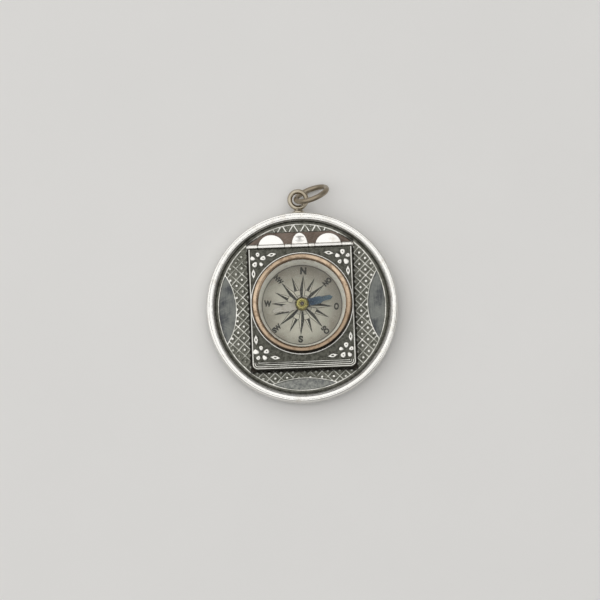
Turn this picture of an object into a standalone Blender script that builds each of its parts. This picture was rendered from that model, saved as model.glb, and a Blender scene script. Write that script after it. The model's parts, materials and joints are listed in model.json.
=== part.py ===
"""Pendant compass: a round silver case that carries a compass in a hinged rectangular leaf.

Metres, +Z up. The origin is the centre of the case's flat back, +Z points out of the dial
and +Y points to the bail. The leaf lies shut, and the jump ring leans on the bail's right side.
"""

import math

import bmesh
import bpy
from mathutils import Matrix, Vector

# Compass. The leaf and the case follow from it, piece by piece.
COMPASS_RADIUS = 0.00995  # of the bezel and of the cup's flange
COMPASS_SHIFT = 0.0005  # towards the bail, from the case's centre
BEZEL_WIDTH = 0.00125
BEZEL_ROUNDING = 0.00055
BEZEL_EDGE = 0.0001  # thickness of the bezel's inner edge, above the glass
BEZEL_CROWN = 0.00035  # of the bezel above its inner edge
CHAPTER_WIDTH = 0.00065  # sloping ring between the card and the glass
CUP_WALL = 0.0004
CUP_FLOOR = 0.0004
CUP_CHAMFER = 0.0004
FLANGE_WIDTH = 0.00035
FLANGE_THICKNESS = 0.0002
GLASS_THICKNESS = 0.00055
GLASS_DROP = 0.00025  # the glass's underside lies this far below the flange's top
GLASS_ROOM = 0.00045  # between the needle's cap and the glass
CARD_THICKNESS = 0.00035

# Needle and its pivot
NEEDLE_HEADING = 78.0  # degrees clockwise from the bail, seen from above
NEEDLE_ROOM = 0.00175  # from the needle's points to the chapter ring
NEEDLE_LIFT = 0.00135  # from the card to the needle
NEEDLE_THICKNESS = 0.0002
NEEDLE_WIDTH = 0.0015
NEEDLE_TIP_WIDTH = 0.0009
NEEDLE_SHOULDER = 0.0037  # how far out the needle stays broad
NEEDLE_TAPER = 0.0006
NEEDLE_POINT = 0.0005
HUB_WALL = 0.0003  # of the needle round its cap's shank
CAP_RADIUS = 0.0014
CAP_HEIGHT = 0.0008
CAP_EDGE = 0.00027  # height of the cap's straight edge
CAP_TOP_RADIUS = 0.0007
SHANK_RADIUS = 0.0008
SHANK_DROP = 0.00018  # the shank reaches this far below the needle
JEWEL_RADIUS = 0.0004
JEWEL_HEIGHT = 0.0006
JEWEL_RECESS = 0.00025
JEWEL_LIP = 0.0001  # of the cap below the jewel
POST_RADIUS = 0.00055
POST_HEIGHT = 0.00085
SOCKET_DEPTH = 0.00064
PIVOT_RADIUS = 0.00015
PIVOT_CONE = 0.0006

# Leaf
SEAT_WIDTH = 0.0006  # raised ring under the cup's flange
SEAT_HEIGHT = 0.00025
SEAT_CHAMFER = 0.0001
LEAF_SIDE = 0.0001  # of the leaf beside the seat
LEAF_HEAD = 0.00085  # between the seat and the hinge
LEAF_FOOT = 0.0027  # between the seat and the free edge
LEAF_HEIGHT = 0.0019
LEAF_SKIN = 0.0006
LEAF_WALL = 0.0005
LEAF_CORNER = 0.0012
EDGE_WIRE_WIDTH = 0.00032
EDGE_WIRE_HEIGHT = 0.00012
RAIL_WIDTH = 0.0015  # reeded moulding along the free edge
RAIL_HEIGHT = 0.00026
RAIL_REEDS = 4
FLOWER_RADIUS = 0.00105  # of the circle that the petals stand on
FLOWER_SIDE = 0.0019  # from the leaf's side edge to the flower
FLOWER_HEAD = 0.0021  # from the hinged edge to the flower
FLOWER_FOOT = 0.00325  # from the free edge to the flower
PETALS = 5
PETAL_RADIUS = 0.00046
PETAL_HEIGHT = 0.00022
SPRIG_REACH = 0.00275  # from the flower to each of its two leaves
SPRIG_ASIDE = 0.00095
SPRIG_LENGTH = 0.00195
SPRIG_WIDTH = 0.0009

# Hinge
KNUCKLE_RADIUS = 0.00055
KNUCKLE_GAP = 0.0001
PIN_RADIUS = 0.00023
PIN_CLEARANCE = 0.00006
PIN_HEAD_RADIUS = 0.00044
PIN_HEAD_LENGTH = 0.0003
MIDDLE_LUG_WIDTH = 0.0033
LINK_WIDTH = 0.0012  # of the leaf's knuckles between the lugs
END_WIDTH = 0.0019  # of the leaf's knuckles at its corners
LUG_REACH = 0.0027
LUG_THICKNESS = 0.0005
LUG_CROWN = 0.00025
LUG_CROWN_ARC = 60.0  # degrees of the crown's curve before its flat top

# Front plate and its relief
FRONT_THICKNESS = 0.0007
FIELD_SINK = 0.0001  # the plain field lies this much below the pattern
FIELD_MARGIN = 0.00015  # of the plain field round the leaf and the lugs
WELL_CLEARANCE = 0.00035  # round the compass cup, which swings out of the plate
BEAD_INSET = 0.00027  # plain edge of the plate outside its raised line
BEAD_WIDTH = 0.00032
BEAD_HEIGHT = 0.0001
SIDE_PANEL_DEPTH = 0.0038  # of the lens-shaped panels beside the leaf
SIDE_PANEL_ARC = 0.0128  # radius of their inner edge
FOOT_PANEL_DEPTH = 0.00267  # of the panel below the leaf
FOOT_PANEL_ARC = 0.0193
RIDGE_WIDTH = 0.00032
RIDGE_HEIGHT = 0.00014
LATTICE_STEP = 0.00117  # half a diamond's diagonal
STUD_RADIUS = 0.00032
STUD_HEIGHT = 0.0002

# Case
CASE_ROOM = 0.00075  # between the hinge's ends and the rim
RIM_WIDTH = 0.0017
RIM_CREST = 0.0009  # of the rim above the front plate
RIM_ROUNDING = 0.0005
LEDGE_WIDTH = 0.0008  # inner ledge that carries the front plate
CUP_ROOM = 0.00185  # between the back and the compass cup
BACK_THICKNESS = 0.0007
BACK_INSET = 0.0006  # the back's edge lies this far inside the rim's outer wall
BACK_CHAMFER = 0.0003
SNAP_WALL = 0.0005  # collar of the back, which grips inside the rim
SNAP_HEIGHT = 0.0011

# Bail and jump ring
RING_RADIUS = 0.0032  # of the wire's middle line
RING_WIRE = 0.00055
RING_PLAY = 0.00058  # of the ring's wire in the bail's loop
RING_TURN = 20.0
RING_LEAN = 65.0
RING_ASIDE = -0.00033  # where the ring's wire passes through the loop, from its centre
RING_AHEAD = 0.00015
FLOOR_GAP = 0.00002  # below the ring
LOOP_WIRE = 0.0005
LOOP_DROP = 0.00225  # from the rim's crest to the loop's middle
COLLAR_RADIUS = 0.00125
COLLAR_NECK = 0.00095
COLLAR_HEIGHT = 0.00075
COLLAR_FOOT = 0.00022
SADDLE_DEPTH = 0.00022  # how deep the loop sits in its collar

FIT = 0.00005  # between pieces that seat on each other

# How the model is drawn
LARGE_SIDES = 64
MIDDLE_SIDES = 48
SMALL_SIDES = 20
WIRE_SIDES = 10
LOOP_STEPS = 28
RING_STEPS = 40
SMOOTH_ANGLE = 35.0
BOSS_TAPER = 0.4  # share of a boss's radius that it gains below its foot and loses above it
OVERCUT = 0.001  # how far a cutter reaches past what it cuts
MERGE = 1e-7
JOINT_MARK = 0.003

# Colour, roughness and metallic value of each finish
FINISHES = {
    "polished_silver": ((0.89, 0.88, 0.85), 0.14, 1.0),
    "oxidised_silver": ((0.36, 0.36, 0.35), 0.38, 1.0),
    "copper": ((0.74, 0.50, 0.35), 0.28, 1.0),
    "brass": ((0.72, 0.63, 0.32), 0.26, 1.0),
    "tinned_brass": ((0.72, 0.70, 0.64), 0.35, 1.0),
    "steel": ((0.60, 0.60, 0.62), 0.25, 1.0),
    "blued_steel": ((0.10, 0.20, 0.32), 0.25, 1.0),
    "glass": ((0.93, 0.96, 0.95), 0.03, 0.0),
    "paper": ((0.74, 0.73, 0.66), 0.85, 0.0),
    "jewel": ((0.32, 0.17, 0.08), 0.20, 0.0),
}


# Heights, from the back upwards
cupBottom = BACK_THICKNESS + CUP_ROOM
cupFloorTop = cupBottom + CUP_FLOOR
cardBottom = cupFloorTop + FIT
cardTop = cardBottom + CARD_THICKNESS
needleBottom = cardTop + NEEDLE_LIFT
needleTop = needleBottom + NEEDLE_THICKNESS
capFoot = needleTop + FIT
capTop = capFoot + CAP_HEIGHT
jewelBottom = capTop - JEWEL_HEIGHT
pivotTip = jewelBottom + JEWEL_RECESS - FIT
glassBottom = capTop + GLASS_ROOM
glassTop = glassBottom + GLASS_THICKNESS
bezelTop = glassTop + FIT + BEZEL_EDGE + BEZEL_CROWN
flangeTop = glassBottom + GLASS_DROP
flangeBottom = flangeTop - FLANGE_THICKNESS
seatTop = flangeBottom - FIT
leafTop = seatTop - SEAT_HEIGHT
leafBottom = leafTop - LEAF_HEIGHT
hingeZ = leafBottom + KNUCKLE_RADIUS
fieldTop = leafBottom - FIT
frontTop = fieldTop + FIELD_SINK
frontBottom = frontTop - FRONT_THICKNESS
caseTop = frontTop + RIM_CREST
loopZ = caseTop - LOOP_DROP

# Radii and places, from the compass outwards
cupRadius = COMPASS_RADIUS - FLANGE_WIDTH
cupBore = cupRadius - CUP_WALL
bezelBore = COMPASS_RADIUS - BEZEL_WIDTH
dialRadius = bezelBore - CHAPTER_WIDTH
needleHalf = dialRadius - NEEDLE_ROOM
seatBore = cupRadius + FIT
seatRadius = seatBore + SEAT_WIDTH
leafHalf = seatRadius + LEAF_SIDE
leafNear = COMPASS_SHIFT + seatRadius + LEAF_HEAD
leafFar = COMPASS_SHIFT - seatRadius - LEAF_FOOT
hingeY = leafNear + KNUCKLE_GAP + KNUCKLE_RADIUS
pinHalf = leafHalf + FIT + PIN_HEAD_LENGTH
compassPlace = (0, COMPASS_SHIFT, 0)
wellRadius = cupRadius + WELL_CLEARANCE
fieldHalf = leafHalf + FIELD_MARGIN
fieldFar = leafFar - FIELD_MARGIN
fieldNear = hingeY + LUG_REACH + FIELD_MARGIN
rimBore = math.hypot(pinHalf, hingeY + PIN_HEAD_RADIUS) + CASE_ROOM
caseRadius = rimBore + RIM_WIDTH
ledgeBore = rimBore - LEDGE_WIDTH
plateRadius = rimBore - FIT
beadRadius = plateRadius - BEAD_INSET
borderRadius = beadRadius - BEAD_WIDTH / 2
loopRadius = RING_WIRE + RING_PLAY + LOOP_WIRE
loopY = caseRadius + FIT + COLLAR_HEIGHT - SADDLE_DEPTH + FIT + LOOP_WIRE + loopRadius


def clearScene():
    for thing in list(bpy.data.objects):
        bpy.data.objects.remove(thing)


def finishMaterial(name):
    """The finish as a Principled BSDF."""
    made = bpy.data.materials.get(name)
    if made:
        return made
    colour, roughness, metallic = FINISHES[name]
    made = bpy.data.materials.new(name)
    made.use_nodes = True
    shader = made.node_tree.nodes["Principled BSDF"]
    shader.inputs["Base Color"].default_value = (*colour, 1)
    shader.inputs["Roughness"].default_value = roughness
    shader.inputs["Metallic"].default_value = metallic
    made.diffuse_color = (*colour, 1)
    return made


def addObject(name, shape):
    """Puts the bmesh shape into the scene as a mesh object with its faces pointing out."""
    bmesh.ops.recalc_face_normals(shape, faces=shape.faces)
    mesh = bpy.data.meshes.new(name)
    shape.to_mesh(mesh)
    shape.free()
    made = bpy.data.objects.new(name, mesh)
    bpy.context.scene.collection.objects.link(made)
    return made


def combine(body, tool, operation):
    """Boolean of body with tool. The tool is used up."""
    modifier = body.modifiers.new("shape", "BOOLEAN")
    modifier.operation = operation
    modifier.object = tool
    graph = bpy.context.evaluated_depsgraph_get()
    mesh = bpy.data.meshes.new_from_object(body.evaluated_get(graph))
    body.modifiers.clear()
    body.data = mesh
    bpy.data.objects.remove(tool)


def finishPiece(piece, finish, axis=None):
    """Gives the piece its material and smooth shading, and hangs it on its joint's axis."""
    mesh = piece.data
    mesh.name = piece.name
    mesh.materials.clear()
    mesh.materials.append(finishMaterial(finish))
    mesh.shade_smooth()
    mesh.set_sharp_from_angle(angle=math.radians(SMOOTH_ANGLE))
    if axis:
        carry(piece, axis)


def carry(thing, axis):
    """Parents thing to axis, and leaves it where it is."""
    thing.parent = axis
    bpy.context.view_layer.update()
    thing.matrix_parent_inverse = axis.matrix_world.inverted()


def jointAxis(name, place, carrier=None):
    """Empty on the axis of a joint. The pieces that move with the joint hang on it."""
    made = bpy.data.objects.new(name, None)
    made.empty_display_size = JOINT_MARK
    made.location = place
    bpy.context.scene.collection.objects.link(made)
    if carrier:
        carry(made, carrier)
    bpy.context.view_layer.update()
    return made


def arc(centre, radii, start, end, steps):
    """Points of an elliptical arc about centre, from start to end in degrees."""
    angles = [math.radians(start + (end - start) * n / steps) for n in range(steps + 1)]
    return [(centre[0] + radii[0] * math.cos(a), centre[1] + radii[1] * math.sin(a)) for a in angles]


def wire(centre, radius):
    """Section of a round wire."""
    return arc(centre, (radius, radius), 0, 360, WIRE_SIDES)[:-1]


def band(inner, outer, bottom, top):
    """Profile of a plain ring, or of a disc where inner is 0."""
    return [(inner, bottom), (outer, bottom), (outer, top), (inner, top)]


def rectangle(low, high):
    return [(low[0], low[1]), (high[0], low[1]), (high[0], high[1]), (low[0], high[1])]


def turned(name, profile, sides, place=(0, 0, 0)):
    """Solid turned about Z. The profile is a list of (radius, height), and its axis stands at place."""
    shape = bmesh.new()
    points = [shape.verts.new((r, 0, z)) for r, z in profile]
    lines = [shape.edges.new(pair) for pair in zip(points, points[1:])]
    if profile[0][0] > 0 or profile[-1][0] > 0:
        lines.append(shape.edges.new((points[-1], points[0])))
    bmesh.ops.spin(shape, geom=points + lines, cent=(0, 0, 0), axis=(0, 0, 1), angle=2 * math.pi,
                   steps=sides, use_merge=True)
    bmesh.ops.remove_doubles(shape, verts=shape.verts, dist=MERGE)
    made = addObject(name, shape)
    made.location = place
    return made


def extruded(name, outline, way):
    """Solid of the outline, a list of (x, y, z), extruded by the vector way."""
    shape = bmesh.new()
    face = shape.faces.new([shape.verts.new(point) for point in outline])
    raised = bmesh.ops.extrude_face_region(shape, geom=[face])["geom"]
    moved = [v for v in raised if isinstance(v, bmesh.types.BMVert)]
    bmesh.ops.translate(shape, verts=moved, vec=way)
    return addObject(name, shape)


def prism(name, outline, bottom, top):
    """Solid of the (x, y) outline from bottom to top."""
    return extruded(name, [(x, y, bottom) for x, y in outline], (0, 0, top - bottom))


def bar(name, profile, start, end):
    """Solid of the (y, z) profile that runs along X from start to end."""
    return extruded(name, [(start, y, z) for y, z in profile], (end - start, 0, 0))


def boss(shape, place, turn, length, width, height, sides):
    """Adds a blunt cone, half of it below place. At place it is length by width, turned about Z."""
    matrix = (Matrix.Translation(place) @ Matrix.Rotation(turn, 4, "Z")
              @ Matrix.Diagonal((length / 2, width / 2, height, 1)))
    bmesh.ops.create_cone(shape, cap_ends=True, segments=sides, radius1=1 + BOSS_TAPER,
                          radius2=1 - BOSS_TAPER, depth=2, matrix=matrix)


def makeRim():
    bottom = BACK_THICKNESS + FIT
    rounding = (RIM_ROUNDING, RIM_ROUNDING)
    profile = [
        (ledgeBore, bottom),
        *arc((caseRadius - RIM_ROUNDING, bottom + RIM_ROUNDING), rounding, -90, 0, 3),
        *arc((caseRadius - RIM_ROUNDING, caseTop - RIM_ROUNDING), rounding, 0, 90, 4),
        *arc((rimBore + RIM_ROUNDING, caseTop - RIM_ROUNDING), rounding, 90, 180, 3),
        (rimBore, frontBottom - FIT),
        (ledgeBore, frontBottom - FIT),
    ]
    finishPiece(turned("case_rim", profile, LARGE_SIDES), "polished_silver")


def makeBack():
    """Flat back with a collar that snaps into the rim."""
    edge = caseRadius - BACK_INSET
    snap = ledgeBore - FIT
    profile = [
        (0, 0),
        (edge - BACK_CHAMFER, 0),
        (edge, BACK_CHAMFER),
        (edge, BACK_THICKNESS),
        (snap, BACK_THICKNESS),
        (snap, BACK_THICKNESS + SNAP_HEIGHT),
        (snap - SNAP_WALL, BACK_THICKNESS + SNAP_HEIGHT),
        (snap - SNAP_WALL, BACK_THICKNESS),
        (0, BACK_THICKNESS),
    ]
    finishPiece(turned("case_back", profile, LARGE_SIDES), "polished_silver")


def panelArcs():
    """Centre and radius of the arcs that bound the lens-shaped panels, right, left and below the leaf."""
    side = borderRadius - SIDE_PANEL_DEPTH + SIDE_PANEL_ARC
    foot = borderRadius - FOOT_PANEL_DEPTH + FOOT_PANEL_ARC
    return [(side, 0, SIDE_PANEL_ARC), (-side, 0, SIDE_PANEL_ARC), (0, -foot, FOOT_PANEL_ARC)]


def inPattern(x, y, room):
    """True where the lattice shows at x, y with room to spare: outside the field and the panels."""
    if math.hypot(x, y) > borderRadius - room:
        return False
    if abs(x) < fieldHalf + room and fieldFar - room < y < fieldNear + room:
        return False
    return all(math.hypot(x - cx, y - cy) > radius + room for cx, cy, radius in panelArcs())


def makeStuds():
    """A stud in the middle of each of the lattice's diamonds."""
    shape = bmesh.new()
    reach = int(borderRadius / LATTICE_STEP) + 1
    room = STUD_RADIUS + RIDGE_WIDTH / 2
    for i in range(-reach, reach + 1):
        for j in range(-reach, reach + 1):
            x, y = i * LATTICE_STEP, j * LATTICE_STEP
            if (i + j) % 2 and inPattern(x, y, room):
                boss(shape, (x, y, frontTop), 0, STUD_RADIUS * 2, STUD_RADIUS * 2, STUD_HEIGHT, 4)
    return addObject("studs", shape)


def makeFrontPlate():
    """Plate with a beaded edge, the relief, a plain field for the leaf and a well for the cup."""
    middle = frontTop - FRONT_THICKNESS / 2
    profile = [
        (0, frontBottom),
        (plateRadius, frontBottom),
        (plateRadius, frontTop),
        (beadRadius, frontTop),
        (beadRadius, frontTop + BEAD_HEIGHT),
        (beadRadius - BEAD_WIDTH, frontTop + BEAD_HEIGHT),
        (beadRadius - BEAD_WIDTH, frontTop),
        (0, frontTop),
    ]
    plate = turned("front_plate", profile, LARGE_SIDES)
    combine(plate, makeStuds(), "UNION")
    for x, y, radius in panelArcs():
        arcBand = band(radius - RIDGE_WIDTH / 2, radius + RIDGE_WIDTH / 2, middle, frontTop + RIDGE_HEIGHT)
        ridge = turned("ridge", arcBand, LARGE_SIDES, (x, y, 0))
        combine(ridge, turned("limit", band(0, borderRadius, frontBottom, caseTop), LARGE_SIDES), "INTERSECT")
        combine(plate, ridge, "UNION")
    field = prism("field", rectangle((-fieldHalf, fieldFar), (fieldHalf, fieldNear)), fieldTop, caseTop)
    combine(field, turned("limit", band(0, borderRadius, frontBottom, caseTop + OVERCUT), LARGE_SIDES),
            "INTERSECT")
    combine(plate, field, "DIFFERENCE")
    well = turned("well", band(0, wellRadius, frontBottom - OVERCUT, caseTop), MIDDLE_SIDES, compassPlace)
    combine(plate, well, "DIFFERENCE")
    finishPiece(plate, "oxidised_silver")


def knuckleSpans():
    """(start, end) along the pin of the lugs' knuckles, and of the leaf's knuckles between them."""
    middle = MIDDLE_LUG_WIDTH / 2
    inner = middle + KNUCKLE_GAP + LINK_WIDTH + KNUCKLE_GAP
    outer = leafHalf - END_WIDTH - KNUCKLE_GAP
    lugs = [(-outer, -inner), (-middle, middle), (inner, outer)]
    starts = [-leafHalf, *(end + KNUCKLE_GAP for _, end in lugs)]
    ends = [*(start - KNUCKLE_GAP for start, _ in lugs), leafHalf]
    return lugs, list(zip(starts, ends))


def barrel(name, radius, start, end):
    """Round bar on the hinge's axis."""
    return bar(name, arc((hingeY, hingeZ), (radius, radius), 0, 360, SMALL_SIDES)[:-1], start, end)


def makeLug(name, start, end):
    """Half-round tab that stands on the plain field, crowned on top, with its knuckle."""
    middle = (start + end) / 2
    flank = leafBottom + LUG_THICKNESS
    shape = bmesh.new()
    rings = []
    for share, z in [(1, leafBottom), *arc((0, flank), (1, LUG_CROWN), 0, LUG_CROWN_ARC, 3)]:
        outline = arc((middle, hingeY), ((end - start) / 2 * share, LUG_REACH * share), 0, 180, 14)
        rings.append([shape.verts.new((x, y, z)) for x, y in outline])
    for low, high in zip(rings, rings[1:]):
        for n in range(len(low)):
            m = (n + 1) % len(low)
            shape.faces.new((low[n], low[m], high[m], high[n]))
    shape.faces.new(rings[0])
    shape.faces.new(rings[-1])
    lug = addObject(name, shape)
    combine(lug, barrel("knuckle", KNUCKLE_RADIUS, start, end), "UNION")
    combine(lug, barrel("bore", PIN_RADIUS + PIN_CLEARANCE, start - OVERCUT, end + OVERCUT), "DIFFERENCE")
    finishPiece(lug, "polished_silver")


def makePin():
    """Hinge pin with a peened head at each end."""
    head = leafHalf + FIT
    half = [
        (PIN_RADIUS, head),
        (PIN_HEAD_RADIUS, head),
        *arc((0, head), (PIN_HEAD_RADIUS, PIN_HEAD_LENGTH), 30, 90, 3),
    ]
    half[-1] = (0, pinHalf)
    profile = [(r, -z) for r, z in reversed(half)] + half
    pin = turned("hinge_pin", profile, SMALL_SIDES, (0, hingeY, hingeZ))
    pin.rotation_euler = (0, math.pi / 2, 0)
    finishPiece(pin, "polished_silver")


def leafOutline(inset):
    """The leaf's outline, with its two free corners rounded, drawn inset from the edge."""
    radius = max(LEAF_CORNER - inset, FIT)
    side = leafHalf - inset
    far = leafFar + inset
    right = arc((side - radius, far + radius), (radius, radius), -90, 0, 5)
    left = [(-x, y) for x, y in reversed(right)]
    return [*right, (side, leafNear - inset), (-side, leafNear - inset), *left]


def makeSprigs():
    """A flower with two leaves for each corner of the leaf's face."""
    shape = bmesh.new()
    for side in (-1, 1):
        for flowerY, inward in ((leafNear - FLOWER_HEAD, -1), (leafFar + FLOWER_FOOT, 1)):
            flowerX = side * (leafHalf - FLOWER_SIDE)
            for n in range(PETALS):
                angle = 2 * math.pi * n / PETALS + math.pi / 2
                x = flowerX + FLOWER_RADIUS * math.cos(angle)
                y = flowerY + FLOWER_RADIUS * math.sin(angle)
                boss(shape, (x, y, leafTop), angle, PETAL_RADIUS * 2, PETAL_RADIUS * 2, PETAL_HEIGHT, 7)
            beside = (flowerX - side * SPRIG_REACH, flowerY - inward * SPRIG_ASIDE, leafTop)
            boss(shape, beside, 0, SPRIG_LENGTH, SPRIG_WIDTH, PETAL_HEIGHT, 8)
            along = (flowerX + side * SPRIG_ASIDE, flowerY + inward * SPRIG_REACH, leafTop)
            boss(shape, along, math.pi / 2, SPRIG_LENGTH, SPRIG_WIDTH, PETAL_HEIGHT, 8)
    return addObject("sprigs", shape)


def makeRail():
    """Reeded moulding along the leaf's free edge, trimmed to the leaf's outline."""
    root = leafTop - LEAF_SKIN / 2
    reed = RAIL_WIDTH / RAIL_REEDS / 2
    profile = [(leafFar + RAIL_WIDTH, root), (leafFar, root), (leafFar, leafTop)]
    for n in range(RAIL_REEDS):
        profile += arc((leafFar + reed * (2 * n + 1), leafTop), (reed, RAIL_HEIGHT), 180, 0, 5)[1:]
    rail = bar("rail", profile, -leafHalf, leafHalf)
    combine(rail, prism("trim", leafOutline(0), leafBottom, seatTop + OVERCUT), "INTERSECT")
    return rail


def makeEdgeWire(side):
    """Raised line along one side of the leaf."""
    edges = sorted((side * leafHalf, side * (leafHalf - EDGE_WIRE_WIDTH)))
    outline = rectangle((edges[0], leafFar + LEAF_CORNER), (edges[1], leafNear))
    return prism("edge", outline, leafTop - LEAF_SKIN / 2, leafTop + EDGE_WIRE_HEIGHT)


def makeSeat():
    """Raised ring that the cup's flange lies on, still without its hole."""
    profile = [
        (0, leafTop - LEAF_SKIN / 2),
        (seatRadius, leafTop - LEAF_SKIN / 2),
        (seatRadius, seatTop - SEAT_CHAMFER),
        (seatRadius - SEAT_CHAMFER, seatTop),
        (0, seatTop),
    ]
    return turned("seat", profile, MIDDLE_SIDES, compassPlace)


def makeLeafKnuckle(start, end):
    """Knuckle of the leaf, with the web that joins it to the leaf's wall."""
    half = KNUCKLE_RADIUS / 2
    web = rectangle((leafNear - LEAF_WALL, hingeZ - half), (hingeY, hingeZ + half))
    knuckle = barrel("knuckle", KNUCKLE_RADIUS, start, end)
    combine(knuckle, bar("web", web, start, end), "UNION")
    return knuckle


def makeLeafFrame(axis):
    """Pressed tray, open below, with its edge lines, rail, flowers, seat and knuckles."""
    frame = prism("leaf_frame", leafOutline(0), leafBottom, leafTop)
    hollow = prism("hollow", leafOutline(LEAF_WALL), leafBottom - OVERCUT, leafTop - LEAF_SKIN)
    combine(frame, hollow, "DIFFERENCE")
    for side in (-1, 1):
        combine(frame, makeEdgeWire(side), "UNION")
    combine(frame, makeRail(), "UNION")
    combine(frame, makeSprigs(), "UNION")
    combine(frame, makeSeat(), "UNION")
    hole = turned("hole", band(0, seatBore, leafBottom - OVERCUT, seatTop + OVERCUT), MIDDLE_SIDES, compassPlace)
    combine(frame, hole, "DIFFERENCE")
    _, spans = knuckleSpans()
    for start, end in spans:
        combine(frame, makeLeafKnuckle(start, end), "UNION")
    bore = barrel("bore", PIN_RADIUS + PIN_CLEARANCE, -leafHalf - OVERCUT, leafHalf + OVERCUT)
    combine(frame, bore, "DIFFERENCE")
    finishPiece(frame, "oxidised_silver", axis)


def makeCup(axis):
    profile = [
        (0, cupBottom),
        (cupRadius - CUP_CHAMFER, cupBottom),
        (cupRadius, cupBottom + CUP_CHAMFER),
        (cupRadius, flangeBottom),
        (COMPASS_RADIUS, flangeBottom),
        (COMPASS_RADIUS, flangeTop),
        (cupBore, flangeTop),
        (cupBore, cupFloorTop),
        (0, cupFloorTop),
    ]
    finishPiece(turned("compass_cup", profile, MIDDLE_SIDES, compassPlace), "copper", axis)


def makeCard(axis):
    """Card with a hole round the pivot's post, and the sloping chapter ring that holds it down."""
    edge = cupBore - FIT
    card = turned("dial_card", band(POST_RADIUS + FIT, edge, cardBottom, cardTop), MIDDLE_SIDES, compassPlace)
    finishPiece(card, "paper", axis)
    profile = [
        (dialRadius, cardTop + FIT),
        (edge, cardTop + FIT),
        (edge, glassBottom - FIT),
        (bezelBore, glassBottom - FIT),
    ]
    finishPiece(turned("chapter_ring", profile, MIDDLE_SIDES, compassPlace), "tinned_brass", axis)


def makeGlass(axis):
    glass = turned("compass_glass", band(0, cupBore - FIT, glassBottom, glassTop), MIDDLE_SIDES, compassPlace)
    finishPiece(glass, "glass", axis)


def makeBezel(axis):
    """Rounded ring over the glass's edge."""
    lip = glassTop + FIT
    shoulder = COMPASS_RADIUS - BEZEL_ROUNDING
    spring = lip + BEZEL_EDGE
    profile = [
        (cupBore, flangeTop + FIT),
        (COMPASS_RADIUS, flangeTop + FIT),
        *arc((shoulder, bezelTop - BEZEL_ROUNDING), (BEZEL_ROUNDING, BEZEL_ROUNDING), 0, 90, 5),
        *arc((shoulder, spring), (shoulder - bezelBore, bezelTop - spring), 90, 180, 5)[1:],
        (bezelBore, lip),
        (cupBore, lip),
    ]
    finishPiece(turned("compass_bezel", profile, MIDDLE_SIDES, compassPlace), "copper", axis)


def makePivot(axis):
    """Brass post on the cup's floor, and the steel point that stands in its socket."""
    top = cardBottom + POST_HEIGHT
    socket = PIVOT_RADIUS + FIT
    socketBottom = top - SOCKET_DEPTH
    post = [
        (0, cardBottom),
        (POST_RADIUS, cardBottom),
        (POST_RADIUS, top),
        (socket, top),
        (socket, socketBottom),
        (0, socketBottom),
    ]
    finishPiece(turned("pivot_post", post, SMALL_SIDES, compassPlace), "brass", axis)
    point = [
        (0, socketBottom + FIT),
        (PIVOT_RADIUS, socketBottom + FIT),
        (PIVOT_RADIUS, pivotTip - PIVOT_CONE),
        (0, pivotTip),
    ]
    finishPiece(turned("pivot_point", point, SMALL_SIDES, compassPlace), "steel", axis)


def makeNeedle(axis):
    """Flat needle, broad to its shoulders and narrow beyond them, with a hub round the cap's shank."""
    broad, narrow = NEEDLE_WIDTH / 2, NEEDLE_TIP_WIDTH / 2
    corner = [
        (broad, NEEDLE_SHOULDER),
        (narrow, NEEDLE_SHOULDER + NEEDLE_TAPER),
        (narrow, needleHalf - NEEDLE_POINT),
        (0, needleHalf),
    ]
    outline = corner + [(-x, y) for x, y in reversed(corner[:-1])]
    outline += [(-x, -y) for x, y in corner] + [(x, -y) for x, y in reversed(corner[:-1])]
    hole = SHANK_RADIUS + FIT
    needle = prism("compass_needle", outline, needleBottom, needleTop)
    combine(needle, turned("hub", band(0, hole + HUB_WALL, needleBottom, needleTop), SMALL_SIDES), "UNION")
    eye = turned("eye", band(0, hole, needleBottom - OVERCUT, needleTop + OVERCUT), SMALL_SIDES)
    combine(needle, eye, "DIFFERENCE")
    needle.location = compassPlace
    needle.rotation_euler = (0, 0, -math.radians(NEEDLE_HEADING))
    finishPiece(needle, "blued_steel", axis)


def makeCap(axis):
    """Cap whose shank goes through the needle, and the jewel in it that rides on the pivot."""
    seat = JEWEL_RADIUS + FIT
    bore = JEWEL_RADIUS - JEWEL_LIP
    dome = (CAP_RADIUS - CAP_TOP_RADIUS, CAP_HEIGHT - CAP_EDGE)
    profile = [
        (bore, needleBottom - SHANK_DROP),
        (SHANK_RADIUS, needleBottom - SHANK_DROP),
        (SHANK_RADIUS, capFoot),
        (CAP_RADIUS, capFoot),
        *arc((CAP_TOP_RADIUS, capFoot + CAP_EDGE), dome, 0, 90, 4),
        (seat, capTop),
        (seat, jewelBottom - FIT),
        (bore, jewelBottom - FIT),
    ]
    finishPiece(turned("needle_cap", profile, SMALL_SIDES, compassPlace), "brass", axis)
    jewel = [
        (0, jewelBottom + JEWEL_RECESS),
        (bore, jewelBottom),
        (JEWEL_RADIUS, jewelBottom),
        (JEWEL_RADIUS, capTop - FIT),
        (0, capTop),
    ]
    finishPiece(turned("cap_jewel", jewel, SMALL_SIDES, compassPlace), "jewel", axis)


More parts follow.
